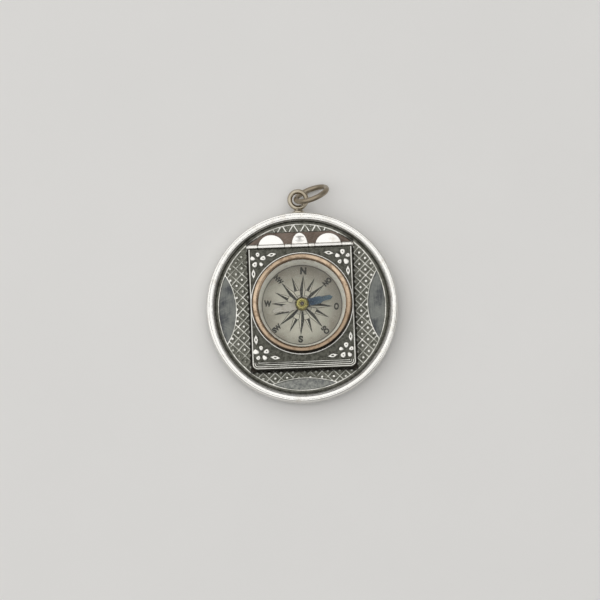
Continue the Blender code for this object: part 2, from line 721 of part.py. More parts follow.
def makeBail():
    """Turned collar on the rim, with a wire loop that sits in its saddle."""
    place = (0, loopY, loopZ)
    loop = turned("bail_loop", wire((loopRadius, 0), LOOP_WIRE), LOOP_STEPS, place)
    finishPiece(loop, "polished_silver")
    neck = COLLAR_RADIUS - COLLAR_NECK
    profile = [
        (0, 0),
        (COLLAR_RADIUS, 0),
        (COLLAR_RADIUS, COLLAR_FOOT),
        (COLLAR_NECK, COLLAR_FOOT + neck / 2),
        (COLLAR_NECK, COLLAR_HEIGHT),
        (0, COLLAR_HEIGHT),
    ]
    collar = turned("bail_collar", profile, SMALL_SIDES)
    stand = Matrix.Translation((0, caseRadius + FIT, loopZ)) @ Matrix.Rotation(-math.pi / 2, 4, "X")
    collar.data.transform(stand)
    saddle = turned("saddle", wire((loopRadius, 0), LOOP_WIRE + FIT), LOOP_STEPS, place)
    combine(collar, saddle, "DIFFERENCE")
    finishPiece(collar, "polished_silver")


def makeJumpRing(axis):
    """Ring through the bail's loop. It stands on the surface that the case lies on, and leans over."""
    lean = math.radians(RING_LEAN)
    stand = Matrix.Rotation(math.radians(RING_TURN), 4, "Z") @ Matrix.Rotation(-lean, 4, "X")
    height = RING_RADIUS * math.sin(lean) + RING_WIRE + FLOOR_GAP
    fall = (height - loopZ) / math.sin(lean)
    across = math.sqrt(RING_RADIUS ** 2 - fall ** 2)
    crossing = Vector((RING_ASIDE, loopY + RING_AHEAD, loopZ))
    centre = crossing - stand @ Vector((-across, fall, 0))
    ring = turned("jump_ring", wire((RING_RADIUS, 0), RING_WIRE), RING_STEPS)
    ring.data.transform(Matrix.Translation(centre) @ stand)
    finishPiece(ring, "polished_silver", axis)


def main():
    clearScene()
    leafAxis = jointAxis("leaf_axis", (0, hingeY, hingeZ))
    needleAxis = jointAxis("needle_axis", (0, COMPASS_SHIFT, pivotTip), leafAxis)
    ringAxis = jointAxis("ring_axis", (0, loopY, loopZ))
    makeRim()
    makeBack()
    makeFrontPlate()
    lugs, _ = knuckleSpans()
    for name, (start, end) in zip(("left", "middle", "right"), lugs):
        makeLug(f"hinge_lug_{name}", start, end)
    makePin()
    makeLeafFrame(leafAxis)
    makeCup(leafAxis)
    makeCard(leafAxis)
    makeGlass(leafAxis)
    makeBezel(leafAxis)
    makePivot(leafAxis)
    makeNeedle(needleAxis)
    makeCap(needleAxis)
    makeBail()
    makeJumpRing(ringAxis)
    bpy.context.view_layer.update()


main()
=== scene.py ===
# Pendant compass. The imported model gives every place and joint, and this script lays the fine surfaces
# over it and finishes them: worn silver, oxidised relief, rubbed copper, printed card, blued steel, glass.
# Lengths are in millimetres, and turn into metres where a mesh, a material or the camera takes them.
import json
from math import atan2, cos, hypot, pi, radians, sin, sqrt

import bmesh
import bpy
import numpy as np
from mathutils import Matrix, Vector


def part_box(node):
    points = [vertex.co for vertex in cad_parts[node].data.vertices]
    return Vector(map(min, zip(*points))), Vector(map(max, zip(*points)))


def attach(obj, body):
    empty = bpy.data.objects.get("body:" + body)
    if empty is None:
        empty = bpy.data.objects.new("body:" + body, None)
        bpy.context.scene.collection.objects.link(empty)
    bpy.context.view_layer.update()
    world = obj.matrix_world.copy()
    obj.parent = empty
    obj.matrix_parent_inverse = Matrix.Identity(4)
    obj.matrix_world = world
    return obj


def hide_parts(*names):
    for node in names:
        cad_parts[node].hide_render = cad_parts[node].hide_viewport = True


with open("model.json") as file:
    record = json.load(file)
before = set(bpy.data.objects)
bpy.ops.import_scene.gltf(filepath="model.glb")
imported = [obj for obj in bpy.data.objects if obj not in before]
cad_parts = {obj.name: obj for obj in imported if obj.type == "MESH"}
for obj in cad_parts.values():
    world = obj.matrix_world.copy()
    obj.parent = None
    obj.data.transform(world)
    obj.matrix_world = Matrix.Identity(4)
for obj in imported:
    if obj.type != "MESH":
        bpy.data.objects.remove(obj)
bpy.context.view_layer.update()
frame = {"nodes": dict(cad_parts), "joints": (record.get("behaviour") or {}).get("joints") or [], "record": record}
mm = 0.001
scene = bpy.context.scene
record = frame["record"]
bodyOf = {node: body for body, nodes in record["behaviour"]["bodies"].items() for node in nodes}
jointPlace = {joint["name"]: np.array(joint["pos_m"]) / mm for joint in frame["joints"]}
print("frame loaded:", len(bodyOf), "nodes")


# Lowest and highest corner of a node.
def box(node):
    low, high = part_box(node)
    return low / mm, high / mm


# The points of a node's solid.
def nodePoints(node):
    mesh = frame["nodes"][node].data
    points = np.empty(len(mesh.vertices) * 3)
    mesh.vertices.foreach_get("co", points)
    return points.reshape(-1, 3) / mm


# Places that many pieces share
compassY = jointPlace["needle_spin"][1]
compassPlace = (0, compassY, 0)
hingeY, hingeZ = jointPlace["leaf_hinge"][1:]
hingePlace = (0, hingeY, hingeZ)
loopY, loopZ = jointPlace["ring_swing"][1:]
caseRadius, _, caseTop = box("case_rim")[1]
seatGap = 0.05  # between pieces that seat on each other
cupRadius = box("compass_cup")[1].x - 0.35  # inside the cup's flange
seatTop = box("compass_cup")[1].z - 0.2 - seatGap  # of the leaf's seat, below that flange


# Surfaces: every new piece is a grid of points worked out with numpy

# 0 below low, 1 above high, and 3t^2 - 2t^3 between them.
def smoothStep(low, high, value):
    t = np.clip((value - low) / (high - low), 0, 1)
    return t * t * (3 - 2 * t)


# A hump cos^2 (pi d / 2w) over the distance d from its middle, 0 from the half-width w on.
def hump(distance, halfWidth):
    return np.cos(pi / 2 * np.clip(np.abs(distance) / halfWidth, 0, 1)) ** 2


# Height of a half-sphere of radius 1 at the distance r from its middle, and 0 outside it.
def dome(r):
    return np.sqrt(np.clip(1 - r ** 2, 0, 1))


# Angles evenly round a circle.
def roundAngles(count):
    return np.linspace(0, 2 * pi, count, endpoint=False)


def linked(name, data):
    made = bpy.data.objects.new(name, data)
    scene.collection.objects.link(made)
    return made


# Merges the points that coincide at poles and seams, and turns every face outwards.
def weld(mesh):
    shape = bmesh.new()
    shape.from_mesh(mesh)
    bmesh.ops.remove_doubles(shape, verts=shape.verts, dist=2e-8)
    bmesh.ops.recalc_face_normals(shape, faces=shape.faces)
    shape.to_mesh(mesh)
    shape.free()


# Mesh of a grid of points, rows by columns. Each point joins the next in its row and in its column, and the
# last joins the first, unless the rows are open. Marks are numbers for each point, for the materials.
def surface(name, grid, openRows=False, marks=None):
    near = np.arange(grid.shape[0] * grid.shape[1]).reshape(grid.shape[:2])
    far = np.roll(near, -1, 0)
    quads = np.stack([near, np.roll(near, -1, 1), np.roll(far, -1, 1), far], -1)
    if openRows:
        quads = quads[:, :-1]
    mesh = bpy.data.meshes.new(name)
    mesh.from_pydata(grid.reshape(-1, 3) * mm, [], quads.reshape(-1, 4))
    for mark, values in (marks or {}).items():
        layer = mesh.attributes.new(mark, "FLOAT", "POINT")
        layer.data.foreach_set("value", np.broadcast_to(values, near.shape).astype(np.float32).ravel())
    weld(mesh)
    return linked(name, mesh)


# Closed profile with soft corners (x, y, cut). Round each corner b it runs along the parabola
# (1-s)^2 a + 2s(1-s) b + s^2 c, where a and c lie `cut` before and after b, with one more point on either
# side that keeps the flats flat.
def softProfile(corners, steps=5):
    corners = np.array(corners, float)
    b, cut = corners[:, :2], corners[:, 2:]
    ways = (np.roll(b, 1, 0) - b, np.roll(b, -1, 0) - b)
    a, c = ((b + way / np.maximum(np.linalg.norm(way, axis=1, keepdims=True), 1e-9) * cut)[:, None] for way in ways)
    b = b[:, None]
    s = np.linspace(0, 1, steps + 1)[None, :, None]
    curve = (1 - s) ** 2 * a + 2 * s * (1 - s) * b + s ** 2 * c
    return np.concatenate([b + (a - b) * 1.2, curve, b + (c - b) * 1.2], 1).reshape(-1, 2)


# Solid of revolution: (r cos t, r sin t, h) for each point (r, h) of the profile, or with h along X.
def turned(name, profile, sides, place=(0, 0, 0), alongX=False, marks=None):
    t = roundAngles(sides)
    r, h = profile[:, :1], profile[:, 1:] + 0 * t
    circle = [r * np.cos(t), r * np.sin(t)]
    grid = np.stack([h, *circle] if alongX else [*circle, h], -1) + np.array(place)
    return surface(name, grid, marks=marks)


# Torus of round wire: middle + (R + w cos a)(x cos t + y sin t) + w sin a z, where x, y and z are the axes.
def wireRing(name, ringRadius, wireRadius, axes, middle, turns, seam=None):
    t = roundAngles(turns)
    wire = wireRadius
    if seam:
        t = np.sort(np.append(t, seam["at"] + seam["width"] * np.linspace(-1, 1, 7)))
        wire = wireRadius * (1 - seam["depth"] * hump(t - seam["at"], seam["width"]))
    a = roundAngles(36)[:, None]
    across = ringRadius + wire * np.cos(a)
    flat = np.stack([across * np.cos(t), across * np.sin(t), wire * np.sin(a) + 0 * t], -1)
    return surface(name, flat @ np.array(axes) + middle)


# Bar along X: the (y, z) profile at each station x, drawn in by `soft` at the two ends, which close to a point.
def bar(name, profile, start, end, soft):
    middle = profile.mean(0)
    stations = np.array([start, start, start + soft, end - soft, end, end])
    scale = np.array([0, 1, 1, 1, 1, 0.0])
    drawn = np.array([0, soft, 0, 0, soft, 0])
    reach = np.linalg.norm(profile - middle, axis=1, keepdims=True)
    size = scale * (1 - drawn / np.maximum(reach, 1e-6))
    yz = middle + (profile - middle)[:, None] * size[..., None]
    x = np.broadcast_to(stations, yz.shape[:2])
    return surface(name, np.concatenate([x[..., None], yz], -1), openRows=True)


# Several closed surfaces as one piece.
def gathered(name, pieces):
    shape = bmesh.new()
    for piece in pieces:
        shape.from_mesh(piece.data)
        bpy.data.objects.remove(piece)
    mesh = bpy.data.meshes.new(name)
    shape.to_mesh(mesh)
    shape.free()
    return linked(name, mesh)


# Gives a piece its finish and puts it on the body of its node. It takes the node's place, or only adds to it.
def fit(piece, node, finish, addOn=False):
    piece.data.materials.clear()
    piece.data.materials.append(finish)
    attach(piece, bodyOf[node])
    if not addOn:
        piece.data.shade_smooth()
        piece.data.set_sharp_from_angle(angle=radians(50))
        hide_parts(node)


# A turned piece in its node's place, from its corners (radius, height, cut).
def fitTurned(node, corners, finish, sides=256, place=compassPlace, alongX=False, steps=5):
    fit(turned(node + "_surface", softProfile(corners, steps), sides, place, alongX), node, finish)


# Distance from the compass's centre along each ray t to a circle: b + sqrt(b^2 - |c|^2 + r^2), b = c . ray.
def rayToCircle(t, centre, radius):
    x, y = centre[0], centre[1] - compassY
    b = x * np.cos(t) + y * np.sin(t)
    return b + np.sqrt(np.maximum(b ** 2 - x ** 2 - y ** 2 + radius ** 2, 0))


# Distance from the compass's centre along each ray t to a rectangle: the nearer of its side and its end.
def rayToRectangle(t, half, far, near):
    c, s = np.cos(t), np.sin(t)
    ends = np.where(s < 0, (far - compassY) / np.minimum(s, -1e-9), (near - compassY) / np.maximum(s, 1e-9))
    return np.minimum(half / np.maximum(np.abs(c), 1e-9), ends)


# Angles evenly round the circle, and those of the given corners on either side, seen from the compass's centre.
def raysThrough(corners, count):
    own = [atan2(y - compassY, side * x) % (2 * pi) for x, y in corners for side in (1, -1)]
    return np.unique(np.append(roundAngles(count), own))


# x and y at the given distances from the compass's centre along the rays t.
def onRays(t, radii):
    return radii * np.cos(t), radii * np.sin(t) + compassY


# Rows of points that go evenly from one distance to another, `count` of them, less the first few.
def rowsBetween(start, end, count, leave=0):
    share = np.linspace(0, 1, count)[leave:, None]
    return start * (1 - share) + end * share


# Finishes: small helpers and shared node groups first, then one function for each kind of metal

# Feeds a socket from another one, or sets its value.
def join(value, socket):
    if isinstance(value, bpy.types.NodeSocket):
        socket.id_data.links.new(value, socket)
    else:
        socket.default_value = value


# Adds a shader node to the tree that `beside` is in. Inputs are values or the sockets that feed them.
def addNode(beside, kind, inputs=None, **settings):
    made = beside.id_data.nodes.new("ShaderNode" + kind)
    for key, value in settings.items():
        setattr(made, key, value)
    for key, value in (inputs or {}).items():
        join(value, made.inputs[key])
    return made


# A function that adds a Math node of one kind.
def mathNode(operation):
    def make(*values):
        beside = next(value for value in values if isinstance(value, bpy.types.NodeSocket))
        return addNode(beside, "Math", dict(enumerate(values)), operation=operation).outputs[0]
    return make


plus, minus, times, larger = (mathNode(kind) for kind in ("ADD", "SUBTRACT", "MULTIPLY", "MAXIMUM"))
squareRoot, cosine, arcTangent = (mathNode(kind) for kind in ("SQRT", "COSINE", "ARCTAN2"))


# A value and shares of further ones.
def blend(total, *shares):
    for value, share in shares:
        total = plus(total, times(value, share))
    return total


def remap(value, low, high, toLow=0.0, toHigh=1.0):
    inputs = {"Value": value, "From Min": low, "From Max": high, "To Min": toLow, "To Max": toHigh}
    return addNode(value, "MapRange", inputs, interpolation_type="SMOOTHSTEP").outputs["Result"]


def mixed(share, first, second):
    made = addNode(share, "Mix", {0: share}, data_type="RGBA")
    for n, value in ((6, first), (7, second)):
        join((*value, 1) if isinstance(value, tuple) else value, made.inputs[n])
    return made.outputs[2]


def noise(vector, scale, detail, roughness=0.5):
    inputs = {"Vector": vector, "Scale": scale, "Detail": detail, "Roughness": roughness}
    return addNode(vector, "TexNoise", inputs).outputs["Fac"]


def mapped(vector, **inputs):
    return addNode(vector, "Mapping", {"Vector": vector, **inputs}).outputs[0]


def splitXyz(vector):
    return addNode(vector, "SeparateXYZ", {0: vector}).outputs


def vectorFrom(vector, origin):
    return addNode(vector, "VectorMath", {0: vector, 1: origin}, operation="SUBTRACT").outputs[0]


def rotatedZ(vector, angle):
    return addNode(vector, "VectorRotate", {"Vector": vector, "Angle": angle}, rotation_type="Z_AXIS").outputs[0]


def readMark(place, name):
    return addNode(place, "Attribute", attribute_name=name, attribute_type="GEOMETRY").outputs["Fac"]


def bump(height, distance):
    return addNode(height, "Bump", {"Height": height, "Distance": distance * mm}).outputs["Normal"]


# An empty node group with named inputs and outputs.
def newGroup(name, inputs, outputs):
    group = bpy.data.node_groups.new(name, "ShaderNodeTree")
    for way, keys in (("INPUT", inputs), ("OUTPUT", outputs)):
        for key in keys:
            kind = "NodeSocketVector" if key in ("Vector", "Centre") else "NodeSocketFloat"
            group.interface.new_socket(key, in_out=way, socket_type=kind)
    return group, group.nodes.new("NodeGroupInput").outputs, group.nodes.new("NodeGroupOutput").inputs


# Soft-edged blotches, where a noise passes a level.
def makeBlotches():
    group, given, put = newGroup("blotches", ("Vector", "Scale", "Level", "Softness"), ("Mask",))
    low, high = (sign(given["Level"], given["Softness"]) for sign in (minus, plus))
    join(remap(noise(given["Vector"], given["Scale"], 6, 0.62), low, high), put["Mask"])
    return group


# Fine scratches in three directions: noise drawn out along a turned X, where it passes a high level.
def makeScratches():
    group, given, put = newGroup("scratches", ("Vector", "Scale", "Level"), ("Mask",))
    total = None
    for turn, stretch in ((0.5, 28.0), (1.9, 40.0), (2.7, 22.0)):
        drawn = mapped(rotatedZ(given["Vector"], turn), Scale=(1, stretch, 1), Location=(turn, stretch, 0))
        line = remap(noise(drawn, given["Scale"], 1.5, 0.4), given["Level"], plus(given["Level"], 0.05))
        total = larger(total, line) if total else line
    join(total, put["Mask"])
    return group


# Position round an axis through Centre: (distance, angle, height), for lathe marks and radial shading.
def makeAroundAxis():
    group, given, put = newGroup("around_axis", ("Vector", "Centre"), ("Vector", "Distance", "Angle"))
    x, y, z = splitXyz(vectorFrom(given["Vector"], given["Centre"]))
    distance = squareRoot(plus(times(x, x), times(y, y)))
    angle = arcTangent(y, x)
    joined = addNode(x, "CombineXYZ", {0: distance, 1: times(angle, 0.0006), 2: z}).outputs[0]
    for value, key in ((joined, "Vector"), (distance, "Distance"), (angle, "Angle")):
        join(value, put[key])
    return group


# Lathe marks: noise that runs on round the axis and changes quickly across it.
def makeLatheMarks():
    group, given, put = newGroup("lathe_marks", ("Vector", "Scale"), ("Height",))
    join(noise(given["Vector"], given["Scale"], 3), put["Height"])
    return group


blotches, scratches, aroundAxis, latheMarks = makeBlotches(), makeScratches(), makeAroundAxis(), makeLatheMarks()


def useGroup(group, vector, **inputs):
    return addNode(vector, "Group", {"Vector": vector, **inputs}, node_tree=group).outputs


def blots(vector, scale, level, softness):
    return useGroup(blotches, vector, Scale=scale, Level=level, Softness=softness)[0]


# A new material: its Principled BSDF, the piece's own coordinates, and the same shifted so that no two
# pieces show the same marks.
def newFinish(name, shift=(0, 0, 0)):
    material = bpy.data.materials.new(name)
    material.use_nodes = True
    shader = material.node_tree.nodes["Principled BSDF"]
    place = addNode(shader, "TexCoord").outputs["Object"]
    return material, shader, place, mapped(place, Location=shift)


def feed(shader, **sockets):
    for key, value in sockets.items():
        join(value, shader.inputs[key.replace("_", " ")])


def toned(colour, tone):
    return tuple(np.multiply(colour, tone))


# Polished silver that has been worn: blotches of tarnish, fine scratches, a slow waviness in the polish. A mark
# darkens it towards black: tarnish in joints, and painted shade on the rim's inner wall and slope and round the
# lugs.
polish = dict(
    clean=(0.90, 0.885, 0.845),
    tarnish=(0.60, 0.545, 0.45),
    black=(0.045, 0.040, 0.032),
    waves=900,
)


def silver(name, shift, tarnishLevel=0.60, roughness=0.16, scratchLevel=0.66, tone=1):
    material, shader, place, moved = newFinish(name, shift)
    dull = blots(moved, 420, tarnishLevel, 0.12)
    lines = useGroup(scratches, moved, Scale=260, Level=scratchLevel)[0]
    tarnishAndShade = readMark(place, "tarnishAndShade")
    colour = mixed(times(dull, 0.55), toned(polish["clean"], tone), toned(polish["tarnish"], tone))
    # painted shade and tarnish: where the mark is high, the silver turns towards black
    tarnishAndShadeShare = times(tarnishAndShade, remap(blots(moved, 2600, 0.55, 0.2), 0, 1, 0.80, 1.0))
    height = minus(times(noise(moved, polish["waves"], 2), 0.6), times(lines, 0.10))
    feed(shader, Base_Color=mixed(tarnishAndShadeShare, colour, polish["black"]), Metallic=1, Normal=bump(height, 0.012),
         Roughness=blend(roughness, (dull, 0.12), (lines, 0.10), (tarnishAndShade, 0.25)))
    return material


# Embossed silver, oxidised dark. The marks `relief`, `panel` and `field` say where the metal stands proud
# and is rubbed bright, where a bare lens-shaped panel lies, and where the plain field under the leaf lies.
# `foot` is 1 over the most worn panel, and the last mark darkens the corners with dirt and painted shadow, below and
# beside the leaf and round the plate's edge.
oxide = dict(
    ground=(0.057, 0.057, 0.046),
    groundLight=(0.158, 0.157, 0.131),
    rubbed=(0.52, 0.52, 0.465),
    bright=(0.88, 0.865, 0.81),
    panel=(0.056, 0.060, 0.068),
    panelLight=(0.195, 0.203, 0.187),
    field=(0.105, 0.080, 0.064),
    fieldLight=(0.195, 0.153, 0.125),
    # near black: dirt, and painted shade and shadow
    dirtAndShade=(0.016, 0.015, 0.012),
)


def embossed(name, shift, brightFrom, wear, paler):
    material, shader, place, moved = newFinish(name, shift)
    spots = ((1500, 0.16), (260, 0.18), (420, 0.14))
    grime, slow, broad = (blots(moved, scale, 0.5, softness) for scale, softness in spots)
    lines = useGroup(scratches, moved, Scale=330, Level=0.64)[0]
    marks = ("relief", "panel", "field", "foot", "dirtAndShade")
    relief, panel, field, foot, dirtAndShade = (readMark(place, key) for key in marks)
    streaks = noise(mapped(place, Scale=(1, 0.07, 1)), 4200, 4)
    patchy = plus(times(slow, 0.5), times(streaks, 0.5))
    panelColour = mixed(remap(patchy, 0.1, 0.8), oxide["panel"], oxide["panelLight"])
    panelColour = mixed(times(times(grime, foot), 0.40), panelColour, oxide["rubbed"])
    proud = minus(relief, times(plus(grime, broad), wear / 2))
    rubbed = remap(proud, 0.22, 0.62)
    colour = mixed(grime, toned(oxide["ground"], paler), toned(oxide["groundLight"], paler))
    colour = mixed(panel, colour, panelColour)
    colour = mixed(field, colour, mixed(slow, oxide["field"], oxide["fieldLight"]))
    colour = mixed(times(lines, 0.12), colour, oxide["rubbed"])
    colour = mixed(rubbed, colour, oxide["rubbed"])
    colour = mixed(remap(proud, brightFrom, brightFrom + 0.25), colour, oxide["bright"])
    # dirt and painted shadow darken the corners towards near black
    colour = mixed(times(dirtAndShade, 0.88), colour, oxide["dirtAndShade"])
    bare = larger(panel, field)
    rough = plus(minus(remap(rubbed, 0, 1, 0.48, 0.24), times(bare, 0.12)), times(grime, 0.10))
    grain = times(noise(moved, 9000, 3), remap(larger(bare, rubbed), 0, 1, 1.0, 0.2))
    feed(shader, Base_Color=colour, Metallic=1, Roughness=rough, Normal=bump(minus(grain, times(lines, 0.3)), 0.02))
    return material


# Turned metals: the colours of the flank, partly painted shade, of the rubbed crest, partly a painted highlight, and
# of the stains
copper = dict(flank=(0.16, 0.10, 0.058), crest=(0.65, 0.50, 0.355), stain=(0.18, 0.108, 0.056))
brass = dict(flank=(0.125, 0.106, 0.026), crest=(0.40, 0.355, 0.115), stain=(0.165, 0.133, 0.036))
tin = dict(flank=(0.74, 0.72, 0.65), crest=(0.86, 0.84, 0.78), stain=(0.50, 0.43, 0.35))
steel = dict(flank=(0.40, 0.40, 0.42), crest=(0.62, 0.62, 0.64), stain=(0.3, 0.29, 0.28))
sideShadeAt = radians(-68)  # the side where painted shade darkens the copper most


# Turned metal round the compass, lighter from `low` up to `high`: partly rubbed bright, partly a painted highlight
# over painted shade lower down. Lathe marks and stains. Painted shade darkens one side and a little of the other,
# and a painted shadow lies on the outer flank there.
def turnedMetal(name, shift, metal, low, high, roughness, stainLevel=0.56, metallic=1, sideShade=0, shadeFrom=None):
    material, shader, place, moved = newFinish(name, shift)
    along, distance, angle = useGroup(aroundAxis, place, Centre=Vector(compassPlace) * mm)
    spots = blots(moved, 700, stainLevel, 0.10)
    worn = times(blots(moved, 3000, 0.5, 0.2), (high - low) * mm * 0.3)
    rubbed = remap(minus(splitXyz(place)[2], worn), low * mm, high * mm)
    # crest and flank colours by height: rubbed metal, and a painted highlight over painted shade
    colour = mixed(rubbed, metal["flank"], metal["crest"])
    colour = mixed(times(spots, 0.55), colour, metal["stain"])
    # painted shade over one side, and a little over the other
    facing = cosine(minus(angle, sideShadeAt))
    for start, end, share in ((-0.35, 0.85, sideShade), (-0.60, -1.0, sideShade * 0.5)):
        colour = mixed(times(remap(facing, start, end), share), colour, metal["flank"])
    # painted shadow on the outer flank of the shaded side
    if shadeFrom:
        outside = remap(distance, shadeFrom * mm, (shadeFrom + 0.22) * mm)
        colour = mixed(times(times(outside, remap(facing, 0.25, 0.95)), 0.93), colour, oxide["dirtAndShade"])
    marks = useGroup(latheMarks, along, Scale=14000)[0]
    feed(shader, Base_Color=colour, Metallic=metallic, Roughness=blend(roughness, (spots, 0.18)),
         Normal=bump(marks, 0.004))
    return material


# The case: its rim and its back

rim = dict(
    sides=300,
    wall=1.7,
    ledge=0.8,  # width of the ledge that the plate lies on
    crown=0.06,  # of the rounded top, left by the polishing
    outerRound=0.5,
    innerRound=0.52,
    slope=(0.42, 0.12),  # width of the inner slope that is rougher and painted in shade, and how much wider it is towards one side
    slopeShadeAt=radians(275),
    slopeShade=0.80,
    uneven=0.028,
)


def makeRim():
    low = box("case_rim")[0].z
    bore, crest = caseRadius - rim["wall"], caseTop - rim["crown"]
    ledge, ledgeBore = box("front_plate")[0].z - seatGap, bore - rim["ledge"]
    profile = softProfile([(ledgeBore, low, 0.1), (caseRadius, low, rim["outerRound"]),
                           (caseRadius, crest, rim["outerRound"]), (caseRadius - rim["wall"] / 2, caseTop, 0.3),
                           (bore, crest, rim["innerRound"]), (bore, ledge, 0.05), (ledgeBore, ledge, 0.1)], 7)
    r, z = profile[:, :1], profile[:, 1:]
    # painted shade down the rim's inner wall, darker lower down
    inside = smoothStep(bore + 0.30, bore + 0.10, r) * smoothStep(caseTop - 0.10, caseTop - 0.45, z)
    inside = inside * (0.45 + 0.50 * smoothStep(caseTop - 0.60, caseTop - 0.95, z))
    foot = smoothStep(low + 0.25, low, z)
    t = roundAngles(rim["sides"])
    # painted shade on the inner slope, wider towards one side; the slope is also rougher
    slope = rim["slope"][0] + rim["slope"][1] * np.cos(t - rim["slopeShadeAt"])
    dull = smoothStep(bore + slope + 0.10, bore + slope, r) * smoothStep(bore + 0.04, bore + 0.16, r)
    dull = rim["slopeShade"] * dull
    uneven = rim["uneven"] * (np.sin(3 * t + 0.6) + 0.7 * np.sin(5 * t + 2.0) + 0.5 * np.sin(11 * t))
    upper = smoothStep(caseTop - 0.75, caseTop - 0.35, z) * smoothStep(caseRadius, caseRadius - 0.9, r)
    r = r + upper * (uneven + 2.2 * rim["uneven"])
    z = z - upper * 0.3 * np.abs(uneven)
    grid = np.stack([r * np.cos(t), r * np.sin(t), z + 0 * t], -1)
    piece = surface("case_rim_surface", grid, marks={"tarnishAndShade": np.maximum(np.maximum(inside, foot), dull)})
    fit(piece, "case_rim", silver("rim_silver", (0.1, 0.2, 0), tarnishLevel=0.64))


def makeBack():
    edge, _, top = box("case_back")[1]
    thick = 0.7
    snap = caseRadius - rim["wall"] - rim["ledge"] - seatGap
    profile = softProfile([(0, 0, 0), (edge, 0, 0.32), (edge, thick, 0.08), (snap, thick, 0.04), (snap, top, 0.1),
                           (snap - 0.5, top, 0.1), (snap - 0.5, thick, 0.04), (0, thick, 0)])
    seam = 0.9 * smoothStep(thick - 0.15, thick, profile[:, 1:])
    piece = turned("case_back_surface", profile, rim["sides"], marks={"tarnishAndShade": seam})
    fit(piece, "case_back", silver("back_silver", (0.5, 0.1, 0), tarnishLevel=0.56, roughness=0.22,
                                   scratchLevel=0.62))


# The embossed front plate

plate = dict(
    rays=1080,
    beadInset=0.47,
    bead=0.36,
    beadHeight=0.14,
    sidePanel=(3.58, 12.8),  # depth of the lens-shaped panel, radius of its inner edge
    footPanel=(2.45, 19.3),
    border=0.27,  # half-width of a panel's raised border
    borderHeight=0.165,
    diamond=2.34,
    wobble=0.035,  # by which the lattice is stamped unevenly
    ridge=0.29,
    ridgeHeight=0.14,
    stud=0.34,
    studHeight=0.19,
    top=0.2,  # from the highest stud down to the ground of the relief
    sink=0.10,
    margin=0.15,
    worn=((-13.2, 9.6, 5.2), (-12.6, -11.0, 4.6), (0.5, -15.6, 6.0)),  # places where the lattice has worn low
    wear=0.38,
    head=(2.30, 0.92, 1.50),  # pitch, half-width and height of the peaks above the leaf
    headShift=-1.15,
)


# Height of the relief at (x, y): the highest of the bead, the panels' borders, the ridges of a diamond lattice
# where x+y or x-y is a whole number of diamonds, a round stud in each diamond, and a zigzag above.
def plateRelief(x, y, edge, half, far, near):
    out = np.hypot(x, y)
    bead = plate["beadHeight"] * hump(out - edge, plate["bead"] * 0.6)
    lenses = ((*plate["sidePanel"], 1, 0), (*plate["sidePanel"], -1, 0), (*plate["footPanel"], 0, -1))
    gap = np.minimum.reduce([np.hypot(x - right * (edge - depth + arc), y - up * (edge - depth + arc)) - arc
                             for depth, arc, right, up in lenses])
    border = plate["borderHeight"] * hump(gap, plate["border"]) * smoothStep(edge + 0.1, edge - 0.1, out)
    panel = smoothStep(0.0, -0.16, gap) * smoothStep(edge + 0.05, edge - 0.15, out)
    wobble, side = plate["wobble"], plate["diamond"] / sqrt(2)
    xs = x + wobble * np.sin(y * 0.90 + 1.3) + wobble * np.sin(x * 0.43)
    ys = y + wobble * np.sin(x * 0.76 + 0.4) + wobble * np.sin(y * 0.51 + 2.0)
    a, b = (xs + ys) / plate["diamond"], (xs - ys) / plate["diamond"]
    toRidge = np.minimum(np.abs(a - np.round(a)), np.abs(b - np.round(b))) * side
    toStud = np.hypot(a - np.floor(a) - 0.5, b - np.floor(b) - 0.5) * side
    lattice = np.maximum(plate["ridgeHeight"] * hump(toRidge, plate["ridge"]),
                         plate["studHeight"] * dome(toStud / plate["stud"]))
    low = np.maximum.reduce([hump(np.hypot(x - wornX, y - wornY), reach) for wornX, wornY, reach in plate["worn"]])
    lattice = lattice * (1 - plate["wear"] * low ** 0.6)
    # the row of peaks between the field and the bead, with a small stud between each two
    up = y - near
    pitch, halfWidth, rise = plate["head"]
    across = np.abs((x - plate["headShift"] + pitch / 2) % pitch - pitch / 2)
    leg = np.abs((1 - across / halfWidth) * rise - up) * halfWidth / hypot(halfWidth, rise)
    inLeg = smoothStep(halfWidth + 0.12, halfWidth, across) * smoothStep(0.0, 0.1, up)
    peaks = plate["ridgeHeight"] * 1.25 * hump(leg, plate["ridge"]) * inLeg
    peaks = np.maximum(peaks, 0.11 * hump(np.hypot(across - pitch / 2, up - rise * 0.72), 0.28))
    head = smoothStep(-0.05, 0.02, up)
    pattern = lattice * (1 - head) + peaks * head * smoothStep(7.6, 6.8, np.abs(x))
    pattern = pattern * smoothStep(0.0, 0.12, gap) * smoothStep(edge, edge - 0.2, out)
    # dirt and painted shadow in the corner along the leaf, widest below its free end, and dirt and painted shade in
    # the groove round the plate
    beside, below = np.maximum(np.abs(x) - half, 0), np.maximum(far - y, 0)
    dirtAndShade = smoothStep(0.65, 0.25, np.hypot(beside * 2.0, below)) * smoothStep(near, near - 2, y)
    groove = smoothStep(edge + 0.22, edge + 0.36, out)
    total = np.maximum.reduce([bead, border, pattern])
    shine = np.maximum(total / plate["ridgeHeight"], 1.2 * np.sqrt(bead / plate["beadHeight"]))
    return total, np.minimum(shine, 1.2), panel, np.maximum(dirtAndShade, 0.55 * groove)


